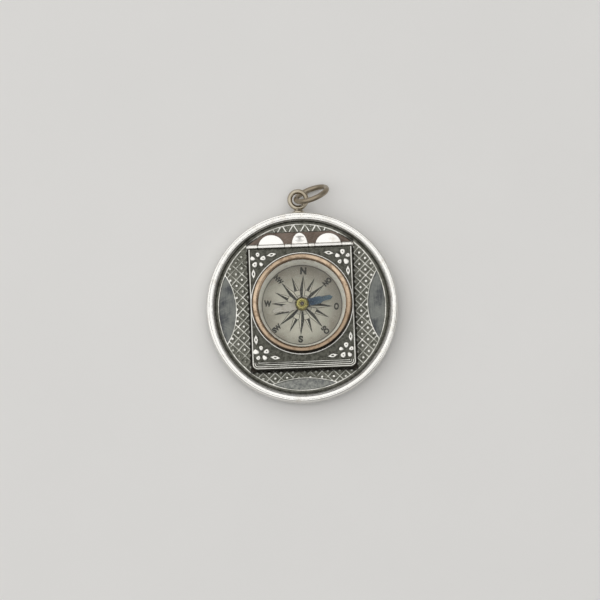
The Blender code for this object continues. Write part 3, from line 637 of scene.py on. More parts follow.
def makePlate():
    low, high = box("front_plate")
    radius, top = high.x, high.z - plate["top"]
    field = top - plate["sink"]
    leafLow, leafHigh = box("leaf_frame")
    half, far = leafHigh.x + plate["margin"], leafLow.y - plate["margin"]
    near = box("hinge_lug_left")[1].y + plate["margin"]
    edge = radius - plate["beadInset"] - plate["bead"] / 2
    well = box("compass_cup")[1].x
    t = raysThrough([(half, far), (half, 13.0), (8.0, near)], plate["rays"])
    zero = 0 * t
    outer = rayToCircle(t, (0, 0), radius)
    inner = np.minimum(rayToRectangle(t, half, far, near), rayToCircle(t, (0, 0), edge - plate["bead"] * 0.6))
    beadEdge = np.maximum(rayToCircle(t, (0, 0), edge - plate["bead"]), inner + 0.004)
    reliefRows = np.concatenate([rowsBetween(outer - 0.06, beadEdge, 15),
                                 rowsBetween(beadEdge, inner, 68, leave=1)])
    relief, shine, panel, dirtAndShade = plateRelief(*onRays(t, reliefRows), edge, half, far, near)
    wellRows = [inner - 0.05, inner * 0.5 + well * 0.5, well + 0.08 + zero, well + zero, well + zero]
    radii = np.concatenate([[outer, outer], reliefRows, wellRows])
    heights = np.concatenate([[low.z + zero, top - 0.06 + zero], top + relief,
                              np.array([field, field, field, field - 0.08, low.z])[:, None] + zero])
    grid = np.stack([*onRays(t, radii), heights], -1)
    face, inside = slice(2, 2 + len(reliefRows)), slice(2 + len(reliefRows), None)
    marks = {key: np.zeros(radii.shape) for key in ("relief", "panel", "field", "dirtAndShade")}
    marks["relief"][face], marks["panel"][face], marks["dirtAndShade"][face] = shine, panel, dirtAndShade
    marks["field"][inside] = 1
    # painted shadow on the field under the leaf, all but next to the hinge
    marks["dirtAndShade"][inside] = smoothStep(near - 2.8, near - 3.2, grid[inside, :, 1])
    marks["foot"] = smoothStep(-13.5, -14.2, grid[..., 1])
    fit(surface("front_plate_surface", grid, marks=marks), "front_plate",
        embossed("plate_silver", (0.3, 0.7, 0), brightFrom=0.66, wear=0.60, paler=1.55))


# The hinge's knuckles, which the leaf and the lugs share

knuckle = dict(radius=0.55, bore=0.29)


def makeKnuckle(name, start, end, marks):
    profile = softProfile([(knuckle["bore"], start, 0.02), (knuckle["radius"], start, 0.09),
                           (knuckle["radius"], end, 0.09), (knuckle["bore"], end, 0.02)], 4)
    return turned(name, profile, 48, hingePlace, alongX=True, marks=marks)


# The leaf

leaf = dict(
    rays=950,
    seat=0.6,
    corner=1.2,
    wall=0.5,
    skin=0.6,
    edge=0.22,  # half-width of the bright line along the edge
    edgeHeight=0.13,
    rail=1.5,
    railHeight=0.24,
    reeds=4,
    reedShine=0.68,  # of the innermost reed, where the one at the edge has 1
    petal=0.50,
    petalHeight=0.22,
    petals=5,
    flower=1.05,
    flowerSide=1.9,
    flowerHead=2.1,
    flowerFoot=3.25,
    sprigReach=2.75,
    sprigAside=0.95,
    sprig=(1.05, 0.47),
    hingeGap=0.1,  # between knuckles
)

leafLow, leafHigh = box("leaf_frame")
leafHalf, leafFar, leafNear = leafHigh.x, leafLow.y, hingeY - 0.65
leafTop = seatTop - 0.25
leafBore = cupRadius + seatGap


# Distance inside the leaf's edge: to its side or free end, and to the arc at a free corner.
def insideEdge(x, y):
    corner = leaf["corner"]
    cornerX, cornerY = np.abs(x) - (leafHalf - corner), leafFar + corner - y
    return np.where((cornerX > 0) & (cornerY > 0), corner - np.hypot(cornerX, cornerY),
                    np.minimum(leafHalf - np.abs(x), y - leafFar))


# (x, y) seen from a place in axes turned by an angle.
def seenFrom(x, y, place, angle):
    x, y = x - place[0], y - place[1]
    return x * cos(angle) + y * sin(angle), y * cos(angle) - x * sin(angle)


# A petal n of a flower: a dome drawn out from its heart, with a dimple. Height, and how bright it is.
def petalRelief(x, y, flower, n, side, inward):
    angle = 2 * pi * n / leaf["petals"] + pi / 2
    size = leaf["petal"] * (1 + 0.14 * sin(2.4 * n + 1.7 * side + 0.9 * inward))
    out, beside = seenFrom(x, y, flower, angle)
    out, beside = (out - leaf["flower"]) / size, beside / size
    r = np.hypot(out * 0.86, beside * (1.06 - 0.30 * out))
    dimple = hump(np.hypot(out - 0.12, beside), 0.46) * (1.0 if (n + side) % 2 else 0.35)
    return leaf["petalHeight"] * (dome(r) - 0.60 * dimple), smoothStep(1.0, 0.72, r) - 0.95 * dimple


# A pointed sprig leaf |v| < 1 - |u|^1.6 with a hollow heart.
def sprigRelief(x, y, place, turn):
    u, v = seenFrom(x, y, place, turn)
    u, v = u / leaf["sprig"][0], v / leaf["sprig"][1]
    r = np.abs(v) / np.maximum(1 - np.abs(u) ** 1.6, 1e-6)
    hollow = hump(np.hypot(u / 0.55, v / 0.50), 1.0)
    blade = dome(r) * smoothStep(1.0, 0.85, np.abs(u)) - 0.7 * hollow
    return leaf["petalHeight"] * blade, smoothStep(1.0, 0.7, r) * (np.abs(u) < 1) - 0.95 * hollow


# Height of the leaf's relief at (x, y), and how bright it is rubbed there: the highest of the line along its
# edge, the rail's reeds as half-rounds sin(pi d), the petals and the sprig leaves.
def leafRelief(x, y):
    inside, along = insideEdge(x, y), y - leafFar
    shine = hump(inside - leaf["edge"], leaf["edge"])
    reed = leaf["rail"] / leaf["reeds"]
    halfRound = np.abs(np.sin(pi * inside / reed))
    inRail = smoothStep(leaf["rail"], leaf["rail"] - 0.02, along)
    inRail = inRail * smoothStep(leafHalf - 0.42, leafHalf - 0.52, np.abs(x))
    lowest = (inside < reed) * smoothStep(leaf["corner"] * 1.2, leaf["corner"] * 0.6, along)
    share = np.maximum(inRail, lowest)
    worn = 1 - (1 - leaf["reedShine"]) * np.clip(inside / leaf["rail"], 0, 1)
    uneven = 0.82 + 0.18 * np.sin(x * 0.7 + inside * 9) * np.sin(x * 0.29 + 1.0)
    crest = halfRound ** np.where(inside < reed, 0.7, 1.3)
    forms = [(leaf["edgeHeight"] * shine, shine),
             (leaf["railHeight"] * halfRound ** 0.7 * share, crest * worn * uneven * share)]
    for side in (-1, 1):
        for flowerY, inward in ((leafNear - leaf["flowerHead"], -1), (leafFar + leaf["flowerFoot"], 1)):
            flowerX = side * (leafHalf - leaf["flowerSide"])
            forms += [petalRelief(x, y, (flowerX, flowerY), n, side, inward) for n in range(leaf["petals"])]
            far, aside = leaf["sprigReach"], leaf["sprigAside"]
            forms += [sprigRelief(x, y, (flowerX - side * far, flowerY - inward * aside), 0.16 * side * inward),
                      sprigRelief(x, y, (flowerX + side * aside, flowerY + inward * far), pi / 2)]
    return (np.maximum.reduce(each) for each in zip(*forms))


# The leaf's outline drawn in by inset along the rays t: to its straight edges, and to the arc of a free corner.
def leafOutline(t, inset, farInset=None):
    farInset = inset if farInset is None else farInset
    half, far, near = leafHalf - inset, leafFar + farInset, leafNear - inset
    reach = rayToRectangle(t, half, far, near)
    radius = max(leaf["corner"] - max(inset, farInset), 0.05)
    centreX, centreY = half - radius, far + radius
    x, y = onRays(t, reach)
    cut = (np.abs(x) > centreX) & (y < centreY)
    b = np.abs(np.cos(t)) * centreX + np.sin(t) * (centreY - compassY)
    arc = b + np.sqrt(np.maximum(b ** 2 - centreX ** 2 - (centreY - compassY) ** 2 + radius ** 2, 0))
    return np.where(cut, arc, reach)


def makeLeaf():
    low, corner = leafLow.z, leaf["corner"]
    seatOut, under = leafBore + leaf["seat"], leafTop - leaf["skin"]
    t = raysThrough([(leafHalf, leafNear), (leafHalf, leafFar + corner), (leafHalf - corner, leafFar)], leaf["rays"])
    zero = 0 * t
    edge, wall = leafOutline(t, 0), leafOutline(t, leaf["wall"])
    edgeStart = np.minimum(np.maximum(leafOutline(t, 0.48), seatOut + 0.012), edge - 0.01)
    railStart = np.minimum(np.maximum(leafOutline(t, 0.50, 1.56), seatOut + 0.006), edgeStart - 0.004)
    faceRows = np.concatenate([rowsBetween(seatOut + zero, railStart, 47),
                               rowsBetween(railStart, edgeStart, 19, leave=1),
                               rowsBetween(edgeStart, edge, 13, leave=1)])
    relief, shine = leafRelief(*onRays(t, faceRows))
    relief[0] = 0
    seat = softProfile([(leafBore, under, 0), (leafBore, seatTop, 0.04), (seatOut, seatTop, 0.14),
                        (seatOut, leafTop, 0)], 4)[14:-7]  # the points round its outer corner
    outerRows = [edge, edge, edge - 0.05, wall + 0.05, wall, wall, leafBore + 0.05 + zero]
    outerHeights = np.array([leafTop - 0.05, low + 0.05, low, low, low + 0.05, under, under])[:, None]
    radii = np.concatenate([seat[:, :1] + zero, faceRows, outerRows])
    heights = np.concatenate([seat[:, 1:] + zero, leafTop + relief, outerHeights + zero])
    rubbed = np.full(radii.shape, 0.34)
    rubbed[:len(seat)] = smoothStep(seatTop - 0.16, seatTop - 0.02, seat[:, 1:]) * 1.1
    rubbed[len(seat):len(seat) + len(faceRows)] = shine * 1.2
    grid = np.stack([*onRays(t, radii), heights], -1)
    pieces = [surface("leaf_frame_surface", grid, marks={"relief": rubbed})]
    lugs = [box(f"hinge_lug_{side}") for side in ("left", "middle", "right")]
    starts = [-leafHalf, *(high.x + leaf["hingeGap"] for _, high in lugs)]
    ends = [*(low.x - leaf["hingeGap"] for low, _ in lugs), leafHalf]
    inner, outer, rise = leafNear - leaf["wall"] * 0.9, hingeY - 0.33, 0.26
    web = softProfile([(inner, hingeZ - rise, 0.05), (outer, hingeZ - rise, 0.05), (outer, hingeZ + rise, 0.05),
                       (inner, hingeZ + rise, 0.05)], 2)
    for n, (start, end) in enumerate(zip(starts, ends)):
        pieces += [makeKnuckle(f"knuckle{n}", start, end, {"relief": 0.86}), bar(f"web{n}", web, start, end, 0.02)]
    fit(gathered("leaf_frame_surface", pieces), "leaf_frame",
        embossed("leaf_silver", (0.9, 0.4, 0), brightFrom=0.50, wear=0.24, paler=0.95))


# The hinge

lug = dict(
    sideReach=0.90,  # of the two outer lugs, against the middle one
    grooves=((0.12, 0.40, 0.24), (0.12, 0.68, 0.22)),  # depth, place, half-width
    dents=((0.02, 0.45, 0.9),),
    rise=0.20,  # of the dome above its edge
    edge=0.58,  # height of the edge above the plate
    points=96,
)


# A half-ellipse (a cos u, b sin u) closed by its base, scaled towards a point inside it by s. The height is
# that of a soft profile over s: up the edge, round it and over a low dome.
def makeLug(side, shift):
    node = "hinge_lug_" + side
    low, high = box(node)
    middle, half = (low.x + high.x) / 2, (high.x - low.x) / 2
    reach = (high.y - hingeY) * (1 if side == "middle" else lug["sideReach"])
    u, base = np.linspace(0, pi, lug["points"]), np.linspace(-1, 1, 30)[1:-1]
    outline = np.concatenate([np.stack([half * np.cos(u), reach * np.sin(u)], -1),
                              np.stack([half * base, 0 * base], -1)])
    heart = np.array([0, reach * 0.42])
    flank, rise = low.z + lug["edge"], lug["rise"]
    profile = softProfile([(0, low.z, 0), (reach, low.z, 0.04), (reach, flank, 0.22),
                           (0.62 * reach, flank + rise * 0.8, 0.35), (0, flank + rise, 0)], 6)
    spread = heart + (outline[None] - heart) * (profile[:, :1] / reach)[..., None]
    z = np.broadcast_to(profile[:, 1:], spread.shape[:2])
    sunk = sum(depth * hump(spread[..., 1] - at * reach, width) * hump(spread[..., 0], half * 0.72) ** 0.5
               for depth, at, width in lug["grooves" if side == "middle" else "dents"])
    sunk = sunk * smoothStep(flank - 0.02, flank + 0.05, z)
    grid = np.concatenate([spread, (z - sunk)[..., None]], -1) + np.array([middle, hingeY, 0])
    foot = smoothStep(low.z + 0.28, low.z, profile[:, 1:]) * (profile[:, :1] > 0.9 * reach)
    # darker at the foot and in the grooves and dents: tarnish and painted shade
    dull = np.maximum(foot, 0.62 * smoothStep(0.03, 0.10, sunk))
    pieces = [surface(node + "_dome", grid, marks={"tarnishAndShade": dull}),
              makeKnuckle(node + "_barrel", low.x, high.x, {"tarnishAndShade": 0.14})]
    fit(gathered(node + "_surface", pieces), node, silver(node + "_silver", shift, tarnishLevel=0.62))


def makePin():
    low, high = box("hinge_pin")
    shank, head, shoulder = 0.23, high.z - hingeZ, high.x - 0.3
    corners = [(0, low.x, 0), (head * 0.9, low.x, 0.2), (head, -shoulder, 0.04), (shank, -shoulder, 0),
               (shank, shoulder, 0), (head, shoulder, 0.04), (head * 0.9, high.x, 0.2), (0, high.x, 0)]
    fitTurned("hinge_pin", corners, silver("pin_silver", (0.3, 0.3, 0.2)), 40, hingePlace, alongX=True)


# The compass

compass = dict(
    bezelBore=8.7,
    dial=8.05,
    cupWall=0.4,
    flangeThick=0.2,
)


def makeCup():
    low, high = box("compass_cup")
    bore, flange = cupRadius - compass["cupWall"], high.z - compass["flangeThick"]
    floor = box("dial_card")[0].z - seatGap
    corners = [(0, low.z, 0), (cupRadius, low.z, 0.5), (cupRadius, flange, 0.05), (high.x, flange, 0.06),
               (high.x, high.z, 0.06), (bore, high.z, 0.05), (bore, floor, 0.1), (0, floor, 0)]
    # the cup's copper carries painted shade over one side
    fitTurned("compass_cup", corners,
              turnedMetal("cup_copper", (0.2, 0.2, 0), copper, low.z, high.z, 0.32, sideShade=0.5))


def makeBezel():
    low, high = box("compass_bezel")
    outer, bore, grip = high.x, compass["bezelBore"], cupRadius - compass["cupWall"]
    lip, crest = box("compass_glass")[1].z + seatGap, outer - 0.58
    corners = [(grip, low.z, 0.02), (outer, low.z, 0.06), (outer, high.z - 0.30, 0.20), (crest + 0.28, high.z, 0.20),
               (crest - 0.22, high.z, 0.22), (bore, lip + 0.12, 0.04), (bore, lip, 0.02), (grip, lip, 0.02)]
    # the bezel's copper carries painted shade over one side and a painted shadow on its outer flank there
    finish = turnedMetal("bezel_copper", (0.7, 0.2, 0), copper, high.z - 0.42, high.z - 0.05, 0.26, sideShade=0.55,
                         shadeFrom=outer - 0.50)
    fitTurned("compass_bezel", corners, finish, steps=7)


def makeGlass():
    low, high = box("compass_glass")
    material, shader, place, moved = newFinish("old_glass")
    feed(shader, Base_Color=(0.985, 0.99, 0.975, 1), Transmission_Weight=1, IOR=1.30,
         Roughness=remap(blots(moved, 350, 0.58, 0.15), 0, 1, 0.0, 0.035))
    clear = addNode(shader, "BsdfTransparent", {"Color": (0.97, 0.98, 0.965, 1)}).outputs[0]
    shadow = addNode(shader, "LightPath").outputs["Is Shadow Ray"]
    both = addNode(shader, "MixShader", {0: shadow, 1: shader.outputs[0], 2: clear}).outputs[0]
    join(both, material.node_tree.nodes["Material Output"].inputs["Surface"])
    corners = [(0, low.z, 0), (high.x, low.z, 0.05), (high.x, high.z, 0.05), (0, high.z, 0)]
    fitTurned("compass_glass", corners, material)


def makeChapterRing():
    low, high = box("chapter_ring")
    corners = [(compass["dial"], low.z, 0.06), (high.x, low.z, 0.02), (high.x, high.z, 0.02),
               (compass["bezelBore"], high.z, 0.05)]
    fitTurned("chapter_ring", corners, turnedMetal("ring_tin", (0.4, 0.8, 0), tin, low.z, low.z + 1.6, 0.55,
                                                   stainLevel=0.58, metallic=0.25))


# Printed card: pale in the middle, greyer towards its edge, partly with age and partly as painted shade under the
# bezel, with stains and a fine tooth.
paper = dict(
    heart=(-1.3, compassY - 0.9, 0),  # the palest place, a little to one side
    reach=(3.4, 10.2),  # where it begins to turn grey, and where it ends
    middle=(0.52, 0.50, 0.42),
    edge=(0.185, 0.168, 0.135),
    stain=(0.25, 0.205, 0.16),
)


def cardFinish(name, brighter):
    material, shader, place, moved = newFinish(name, (0.6, 0.1, 0))
    distance = useGroup(aroundAxis, place, Centre=Vector(paper["heart"]) * mm)["Distance"]
    cloud, specks = blots(moved, 230, 0.53, 0.14), blots(moved, 5200, 0.66, 0.05)
    reach = remap(plus(distance, times(cloud, 1.1 * mm)), *(part * mm for part in paper["reach"]))
    colour = mixed(reach, toned(paper["middle"], brighter), paper["edge"])
    colour = mixed(times(cloud, 0.30), colour, paper["stain"])
    colour = mixed(times(specks, 0.35), colour, paper["stain"])
    feed(shader, Base_Color=colour, Roughness=remap(cloud, 0, 1, 0.55, 0.75),
         Normal=bump(noise(moved, 16000, 3), 0.006))
    return material


def inkFinish():
    material, shader, place, moved = newFinish("printing_ink", (0.2, 0.5, 0))
    faded = blots(moved, 1900, 0.60, 0.14)
    feed(shader, Base_Color=mixed(times(faded, 0.40), (0.020, 0.019, 0.014), (0.14, 0.13, 0.10)),
         Roughness=remap(faded, 0, 1, 0.5, 0.7), Specular_IOR_Level=0.2)
    return material


# Thin solid patches: each outline at the lower and the upper height, its two caps and a face for each side.
def patches(name, outlines, bottom, top):
    points, faces = [], []
    for outline in outlines:
        count, first = len(outline), len(points)
        points += [(x, y, z) for z in (bottom, top) for x, y in outline]
        faces += [range(first, first + count), range(first + count, first + 2 * count)]
        faces += [(first + n, first + (n + 1) % count, first + count + (n + 1) % count, first + count + n)
                  for n in range(count)]
    mesh = bpy.data.meshes.new(name)
    mesh.from_pydata(np.array(points) * mm, [], faces)
    weld(mesh)
    return linked(name, mesh)


# A flat ring of rectangular section.
def flatRing(name, inner, outer, bottom, top):
    return turned(name, np.array([(inner, bottom), (outer, bottom), (outer, top), (inner, top)]), 192, compassPlace)


rose = dict(
    turn=radians(-4.3),  # by which the card has slipped round, against the bail
    rays=16,
    longTip=6.12,
    shortTip=6.02,
    hub=1.25,
    belly=2.95,
    longWidth=(0.30, 0.58),  # half-widths at the hub and at the belly
    shortWidth=0.50,
    shortRoot=3.05,
    line=0.085,
    band=(2.0, 3.0),
    # radius of a dark ink ring at the card's edge: a painted shadow line under the chapter ring
    shadowLineRadius=7.93,
    letterAt=6.86,
    heavy=0.065,  # by which the letters' strokes are widened, against their size
    layer=0.007,
)

# Letter, compass bearing, height, width and turn against the card
roseLetters = [
    ("N", 0, 1.45, 1.25, 0), ("NO", 45, 1.15, 1.85, 45), ("O", 90, 1.45, 1.00, 0), ("SO", 135, 1.15, 1.75, -45),
    ("S", 180, 1.40, 0.95, 0), ("SW", 225, 1.15, 1.90, 45), ("W", 270, 1.30, 1.50, 0), ("NW", 315, 1.15, 1.90, -45),
]


# Points (across, out) turned onto the card at a bearing, clockwise from north.
def onCard(points, bearing):
    a = bearing - rose["turn"]
    return [(x * cos(a) + y * sin(a), y * cos(a) - x * sin(a) + compassY) for x, y in points]


# A ray of the rose: its dark half, the outline of its other half, and the paler fill inside that outline.
def rayOutlines(n):
    if n % 2:
        root, side = rose["shortRoot"], [(rose["shortWidth"], rose["shortRoot"]), (0, rose["shortTip"])]
    else:
        atHub, atBelly = rose["longWidth"]
        root, side = rose["hub"], [(atHub, rose["hub"]), (atBelly, rose["belly"]), (0, rose["longTip"])]
    line = rose["line"]
    fill = [(line, root + line), *((x - 1.3 * line, y + line * 0.4) for x, y in side[:-1]),
            (line * 0.8, side[-1][1] - 0.9)]
    forms = ([(0, root), *((-x, y) for x, y in side)], [(0, root), *side], fill)
    return [onCard(form, 2 * pi * n / rose["rays"]) for form in forms]


# A label as a thin solid, stretched to its height and width and laid on the card, drawn in heavy strokes.
def letterPiece(label, bearing, height, width, turn, bottom, top):
    curve = bpy.data.curves.new("label", "FONT")
    curve.body, curve.extrude, curve.offset, curve.resolution_u = label, 0.5, rose["heavy"], 5
    source = linked("label", curve)
    bpy.context.view_layer.update()
    mesh = bpy.data.meshes.new_from_object(source.evaluated_get(bpy.context.evaluated_depsgraph_get()))
    bpy.data.objects.remove(source)
    points = np.empty(len(mesh.vertices) * 3)
    mesh.vertices.foreach_get("co", points)
    points = points.reshape(-1, 3)
    low, high = points.min(0), points.max(0)
    x, y, z = ((points - (low + high) / 2) / (high - low) * (width, height, top - bottom)).T
    a, b = radians(bearing) - rose["turn"], radians(turn) + rose["turn"]
    x, y = x * cos(b) - y * sin(b) + rose["letterAt"] * sin(a), x * sin(b) + y * cos(b) + rose["letterAt"] * cos(a)
    mesh.vertices.foreach_set("co", np.stack([x, y + compassY, z + (bottom + top) / 2], -1).ravel() * mm)
    weld(mesh)
    return linked("label", mesh)


def makeCard():
    low, high = box("dial_card")
    hole = box("pivot_post")[1].x + seatGap
    corners = [(hole, low.z, 0.02), (high.x, low.z, 0.02), (high.x, high.z, 0.02), (hole, high.z, 0.02)]
    fitTurned("dial_card", corners, cardFinish("card_paper", 1.0), steps=2)
    base = high.z - 0.02

    def above(layers):
        return high.z + layers * rose["layer"]

    band = flatRing("rose_band", *rose["band"], base, above(1))
    darks, shapes, fills = zip(*(rayOutlines(n) for n in range(rose["rays"])))
    # the last ring is a painted shadow line under the chapter ring, in ink
    lines = (("inner_line", rose["band"][0], 0.07), ("outer_line", rose["band"][1], 0.07),
             ("shadow_line", rose["shadowLineRadius"], 0.09))
    ink = [flatRing(name, r - width / 2, r + width / 2, base, above(2)) for name, r, width in lines]
    ink += [patches("outlines", shapes, base, above(3)), patches("darks", darks, base, above(3.5))]
    ink += [letterPiece(*letter, base, above(2)) for letter in roseLetters]
    fill = patches("fills", fills, base, above(4))
    fit(gathered("rose_ink", ink), "dial_card", inkFinish(), addOn=True)
    fit(gathered("rose_pale", [band, fill]), "dial_card", cardFinish("card_pale", 1.22), addOn=True)


def makePivot():
    low, high = box("pivot_post")
    socket, socketBottom = 0.2, box("pivot_point")[0].z - seatGap
    corners = [(0, low.z, 0), (high.x, low.z, 0.04), (high.x, high.z, 0.1), (socket, high.z, 0.03),
               (socket, socketBottom, 0), (0, socketBottom, 0)]
    fitTurned("pivot_post", corners, turnedMetal("post_brass", (0.1, 0, 0), brass, low.z, high.z, 0.3), 64)
    low, high = box("pivot_point")
    corners = [(0, low.z, 0), (high.x, low.z, 0.02), (high.x, high.z - 0.6, 0.08), (0, high.z, 0)]
    fitTurned("pivot_point", corners, turnedMetal("point_steel", (0, 0.3, 0), steel, low.z, high.z, 0.2), 48)


needle = dict(
    heading=radians(78),
    broad=0.75,
    narrow=0.45,
    shoulder=3.7,
    taper=0.6,
    point=0.5,
    eye=0.85,
    hub=1.15,
    bevel=0.055,
    samples=224,  # along a quarter of the outline
    blueRoot=(0.012, 0.030, 0.060),
    blueTip=(0.058, 0.088, 0.108),
    blueSpots=(0.078, 0.102, 0.120),
    bare=(0.34, 0.32, 0.28),
    bareSpots=(0.28, 0.262, 0.226),
)


# The outline is a quarter of straight runs from the hub to the tip, mirrored twice. Columns run along it, and
# rows run from the eye over the top face, round the bevelled edge and back below. It never comes inside the hub.
def makeNeedle():
    low, high = box("compass_needle")
    tip = np.linalg.norm(nodePoints("compass_needle")[:, :2] - (0, compassY), axis=1).max()
    broad, narrow, shoulder = needle["broad"], needle["narrow"], needle["shoulder"]
    corners = np.array([(broad, 0), (broad, shoulder), (narrow, shoulder + needle["taper"]),
                        (narrow, tip - needle["point"]), (0, tip)])
    s = np.linspace(0, len(corners) - 1, needle["samples"])
    quarter = np.stack([np.interp(s, range(len(corners)), corners[:, k]) for k in (0, 1)], -1)
    half = np.concatenate([quarter, (quarter * (-1, 1))[-2::-1]])
    outline = np.concatenate([half, -half[1:-1]])
    reach = np.linalg.norm(outline, axis=1, keepdims=True)
    way = outline / reach
    outer, eye = way * np.maximum(reach, needle["hub"]), way * needle["eye"]
    bevel, thick = needle["bevel"], high.z - low.z
    drawn = outer - way * bevel
    ring = eye * 0.97 + drawn * 0.03
    rows = [eye, eye, ring, drawn, outer, outer, drawn, ring]
    z = low.z + np.array([0.04, thick - 0.02, thick, thick, thick - bevel, bevel * 0.6, 0, 0])
    a = -needle["heading"]
    flat = np.stack(rows) @ np.array([[cos(a), sin(a)], [-sin(a), cos(a)]]) + (0, compassY)
    grid = np.concatenate([flat, np.broadcast_to(z[:, None, None], (*flat.shape[:2], 1))], -1)

    material, shader, place, moved = newFinish("needle_steel", (0.4, 0.1, 0))
    local = rotatedZ(vectorFrom(place, Vector(compassPlace) * mm), -a)
    along = splitXyz(local)[1]
    lines = noise(mapped(local, Scale=(1, 0.03, 1)), 9000, 3)
    spots = blots(moved, 1100, 0.56, 0.12)
    blue = mixed(remap(along, 1.2 * mm, 5.6 * mm), needle["blueRoot"], needle["blueTip"])
    blue = mixed(times(spots, 0.45), blue, needle["blueSpots"])
    bare = mixed(spots, needle["bare"], needle["bareSpots"])
    feed(shader, Base_Color=mixed(remap(along, -0.15 * mm, 0.15 * mm), bare, blue), Metallic=1,
         Roughness=remap(lines, 0.3, 0.7, 0.28, 0.38), Normal=bump(lines, 0.001))
    fit(surface("compass_needle_surface", grid), "compass_needle", material)


def makeCap():
    low, high = box("needle_cap")
    jewelLow, jewelHigh = box("cap_jewel")
    shank, groove, top = 0.8, 0.64, high.z
    seat, bore = jewelHigh.x + seatGap, jewelHigh.x - 0.1
    foot, ceiling = box("compass_needle")[1].z + seatGap, jewelLow.z - seatGap
    corners = [(bore, low.z, 0.02), (shank, low.z, 0.05), (shank, foot, 0), (high.x, foot, 0.05),
               (high.x, foot + 0.30, 0.10), (1.02, top - 0.05, 0.16), (groove + 0.09, top, 0.04),
               (groove, top - 0.12, 0.02), (groove - 0.08, top, 0.02), (seat, top - 0.02, 0.03), (seat, ceiling, 0),
               (bore, ceiling, 0)]
    finish = turnedMetal("cap_brass", (0.3, 0.6, 0), brass, top - 0.42, top - 0.06, 0.22)
    fitTurned("needle_cap", corners, finish, 120)
    material, shader, place, moved = newFinish("bearing_stone", (0.2, 0.2, 0.2))
    veins = blots(moved, 2200, 0.52, 0.15)
    feed(shader, Base_Color=mixed(veins, (0.055, 0.028, 0.008), (0.02, 0.011, 0.004)),
         Roughness=remap(veins, 0, 1, 0.15, 0.25))
    corners = [(0, jewelLow.z + 0.25, 0), (bore, jewelLow.z, 0.02), (jewelHigh.x, jewelLow.z, 0.02),
               (jewelHigh.x, jewelHigh.z - 0.05, 0.08), (0, jewelHigh.z, 0)]
    fitTurned("cap_jewel", corners, material, 64)


# The bail and the jump ring

bail = dict(
    neck=0.3,  # from the foot's edge in to the neck
    foot=0.24,
    turns=160,
    ringTurns=240,
    seam=dict(at=0.5, width=0.012, depth=0.10),
)


# The collar is turned about Y, and its top runs up the loop's wire like solder.
def makeCollar():
    low, high = box("bail_collar")
    radius, length = high.x, high.y - low.y
    neck = radius - bail["neck"]
    profile = softProfile([(0, 0, 0), (radius, 0, 0.05), (radius, bail["foot"], 0.08),
                           (neck, bail["foot"] + 0.12, 0.08), (neck * 0.9, length - 0.05, 0.12),
                           (0, length - 0.1, 0)])
    # darker over the neck, between the foot and the top
    dirtAndShade = smoothStep(0.2, 0.32, profile[:, 1:]) * smoothStep(length, length - 0.25, profile[:, 1:])
    piece = turned("bail_collar_surface", profile, 72, marks={"tarnishAndShade": dirtAndShade * 0.5})
    place = Vector((0, low.y, loopZ)) * mm
    piece.data.transform(Matrix.Translation(place) @ Matrix.Rotation(-pi / 2, 4, "X"))
    fit(piece, "bail_collar", silver("collar_silver", (0.6, 0.6, 0), tarnishLevel=0.5, tone=(0.72, 0.67, 0.58)))


def makeLoop():
    low, high = box("bail_loop")
    wire = (high.z - low.z) / 2
    middleLine = (high.x - low.x) / 2 - wire
    piece = wireRing("bail_loop_surface", middleLine, wire, np.eye(3), (0, loopY, loopZ), bail["turns"])
    fit(piece, "bail_loop", silver("loop_silver", (0.8, 0.3, 0), tarnishLevel=0.5, roughness=0.22,
                                   tone=(0.54, 0.49, 0.405)))


# The ring's place and lean are read from its node: its middle is that of the node's box, its axis is the
# direction in which the points spread least, and its wire is half that spread.
def makeJumpRing():
    points = nodePoints("jump_ring")
    middle = (points.min(0) + points.max(0)) / 2
    axis = np.linalg.svd(points - middle, full_matrices=False)[2][2]
    axis = axis * np.sign(axis[2])
    wire = np.ptp(points @ axis) / 2
    reach = np.linalg.norm(points - middle, axis=1).max()
    first = np.cross(axis, (0, 0, 1.0))
    first /= np.linalg.norm(first)
    axes = (first, np.cross(axis, first), axis)
    piece = wireRing("jump_ring_surface", reach - wire, wire, axes, middle, bail["ringTurns"], seam=bail["seam"])
    fit(piece, "jump_ring", silver("ring_silver", (0.4, 0.9, 0), tarnishLevel=0.44, roughness=0.26,
                                   tone=(0.42, 0.37, 0.30)))
    print("jump ring: wire", round(wire, 3), "middle line", round(reach - wire, 3))


# The floor, the light and the camera, in metres

studio = dict(
    floor=(0.80, 0.79, 0.77),
    horizon=0.25,
    zenith=0.36,
    reach=2.0,  # of the floor, each way
    lamps=(("key", 2.3, (-0.30, 0.22, 0.85), 0.78),  # name, size, place and radiance
           ("fill", 0.35, (0.75, -0.30, 0.40), 0.9)),
)

view = dict(
    elevation=83.0,
    roll=2.2,  # degrees by which the object stands turned in the frame
    distance=1.0,
    frameWidth=0.1194,  # at the case's top
    sensor=36.0,
    offset=(0.43 * mm, -1.30 * mm),  # of the case's centre in the frame, right and up
)


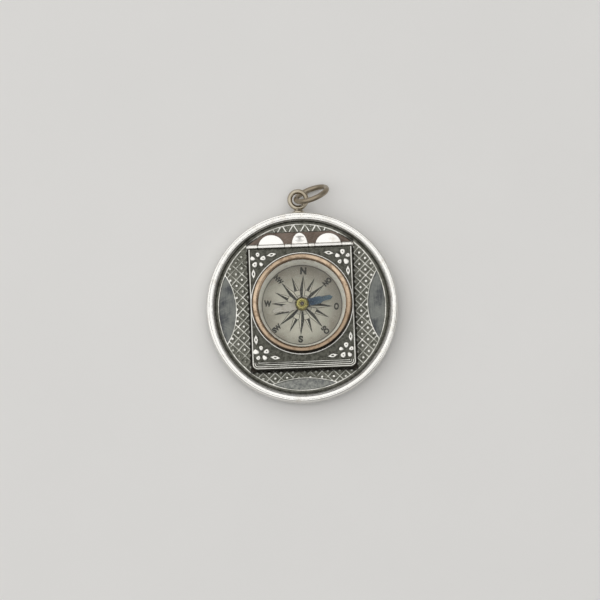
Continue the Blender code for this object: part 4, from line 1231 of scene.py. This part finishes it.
def makeFloor():
    mesh = bpy.data.meshes.new("floor")
    far = studio["reach"]
    mesh.from_pydata([(-far, -far, 0), (far, -far, 0), (far, far, 0), (-far, far, 0)], [], [(0, 1, 2, 3)])
    floor = linked("floor", mesh)
    floor.location.z = -0.01 * mm
    material, shader, place, moved = newFinish("pale_floor")
    cloud = blots(moved, 30, 0.5, 0.3)
    feed(shader, Base_Color=mixed(cloud, studio["floor"], toned(studio["floor"], 1.02)), Roughness=0.9)
    mesh.materials.append(material)


def makeLight():
    world = bpy.data.worlds.new("studio")
    scene.world = world
    world.use_nodes = True
    background = world.node_tree.nodes["Background"]
    up = splitXyz(addNode(background, "TexCoord").outputs["Generated"])[2]
    join((1.0, 0.995, 0.985, 1), background.inputs["Color"])
    join(remap(up, 0.0, 0.8, studio["horizon"], studio["zenith"]), background.inputs["Strength"])
    for name, size, place, radiance in studio["lamps"]:
        data = bpy.data.lights.new(name, "AREA")
        data.shape, data.size, data.energy = "SQUARE", size, pi * size ** 2 * radiance
        lamp = linked(name, data)
        lamp.location = place
        lamp.rotation_euler = (-Vector(place)).to_track_quat("-Z", "Y").to_euler()


def makeCamera():
    roll, rise = radians(view["roll"]), radians(view["elevation"])
    right = Vector((cos(roll), -sin(roll), 0))
    back = Vector((0, 0, sin(rise))) - Vector((sin(roll), cos(roll), 0)) * cos(rise)
    up = back.cross(right)
    target = Vector((0, 0, caseTop * mm)) - right * view["offset"][0] - up * view["offset"][1]
    data = bpy.data.cameras.new("camera")
    data.sensor_width = view["sensor"]
    data.lens = view["sensor"] * view["distance"] / view["frameWidth"]
    data.clip_start, data.clip_end = 0.01, 20
    camera = linked("camera", data)
    stand = Matrix((right, up, back)).transposed().to_4x4()
    stand.translation = target + back * view["distance"]
    camera.matrix_world = stand
    scene.camera = camera


makeCamera()
makeLight()
makeFloor()
print("stage ready")
makeRim()
makeBack()
makePlate()
print("case ready")
makeLeaf()
for lugSide, lugShift in (("left", 0.1), ("middle", 0.4), ("right", 0.8)):
    makeLug(lugSide, (lugShift, 0, 0))
makePin()
print("leaf and hinge ready")
for make in (makeCup, makeBezel, makeGlass, makeChapterRing, makeCard, makePivot, makeNeedle, makeCap):
    make()
print("compass ready")
for make in (makeCollar, makeLoop, makeJumpRing):
    make()
print("bail and ring ready")

scene.view_settings.view_transform = "Standard"
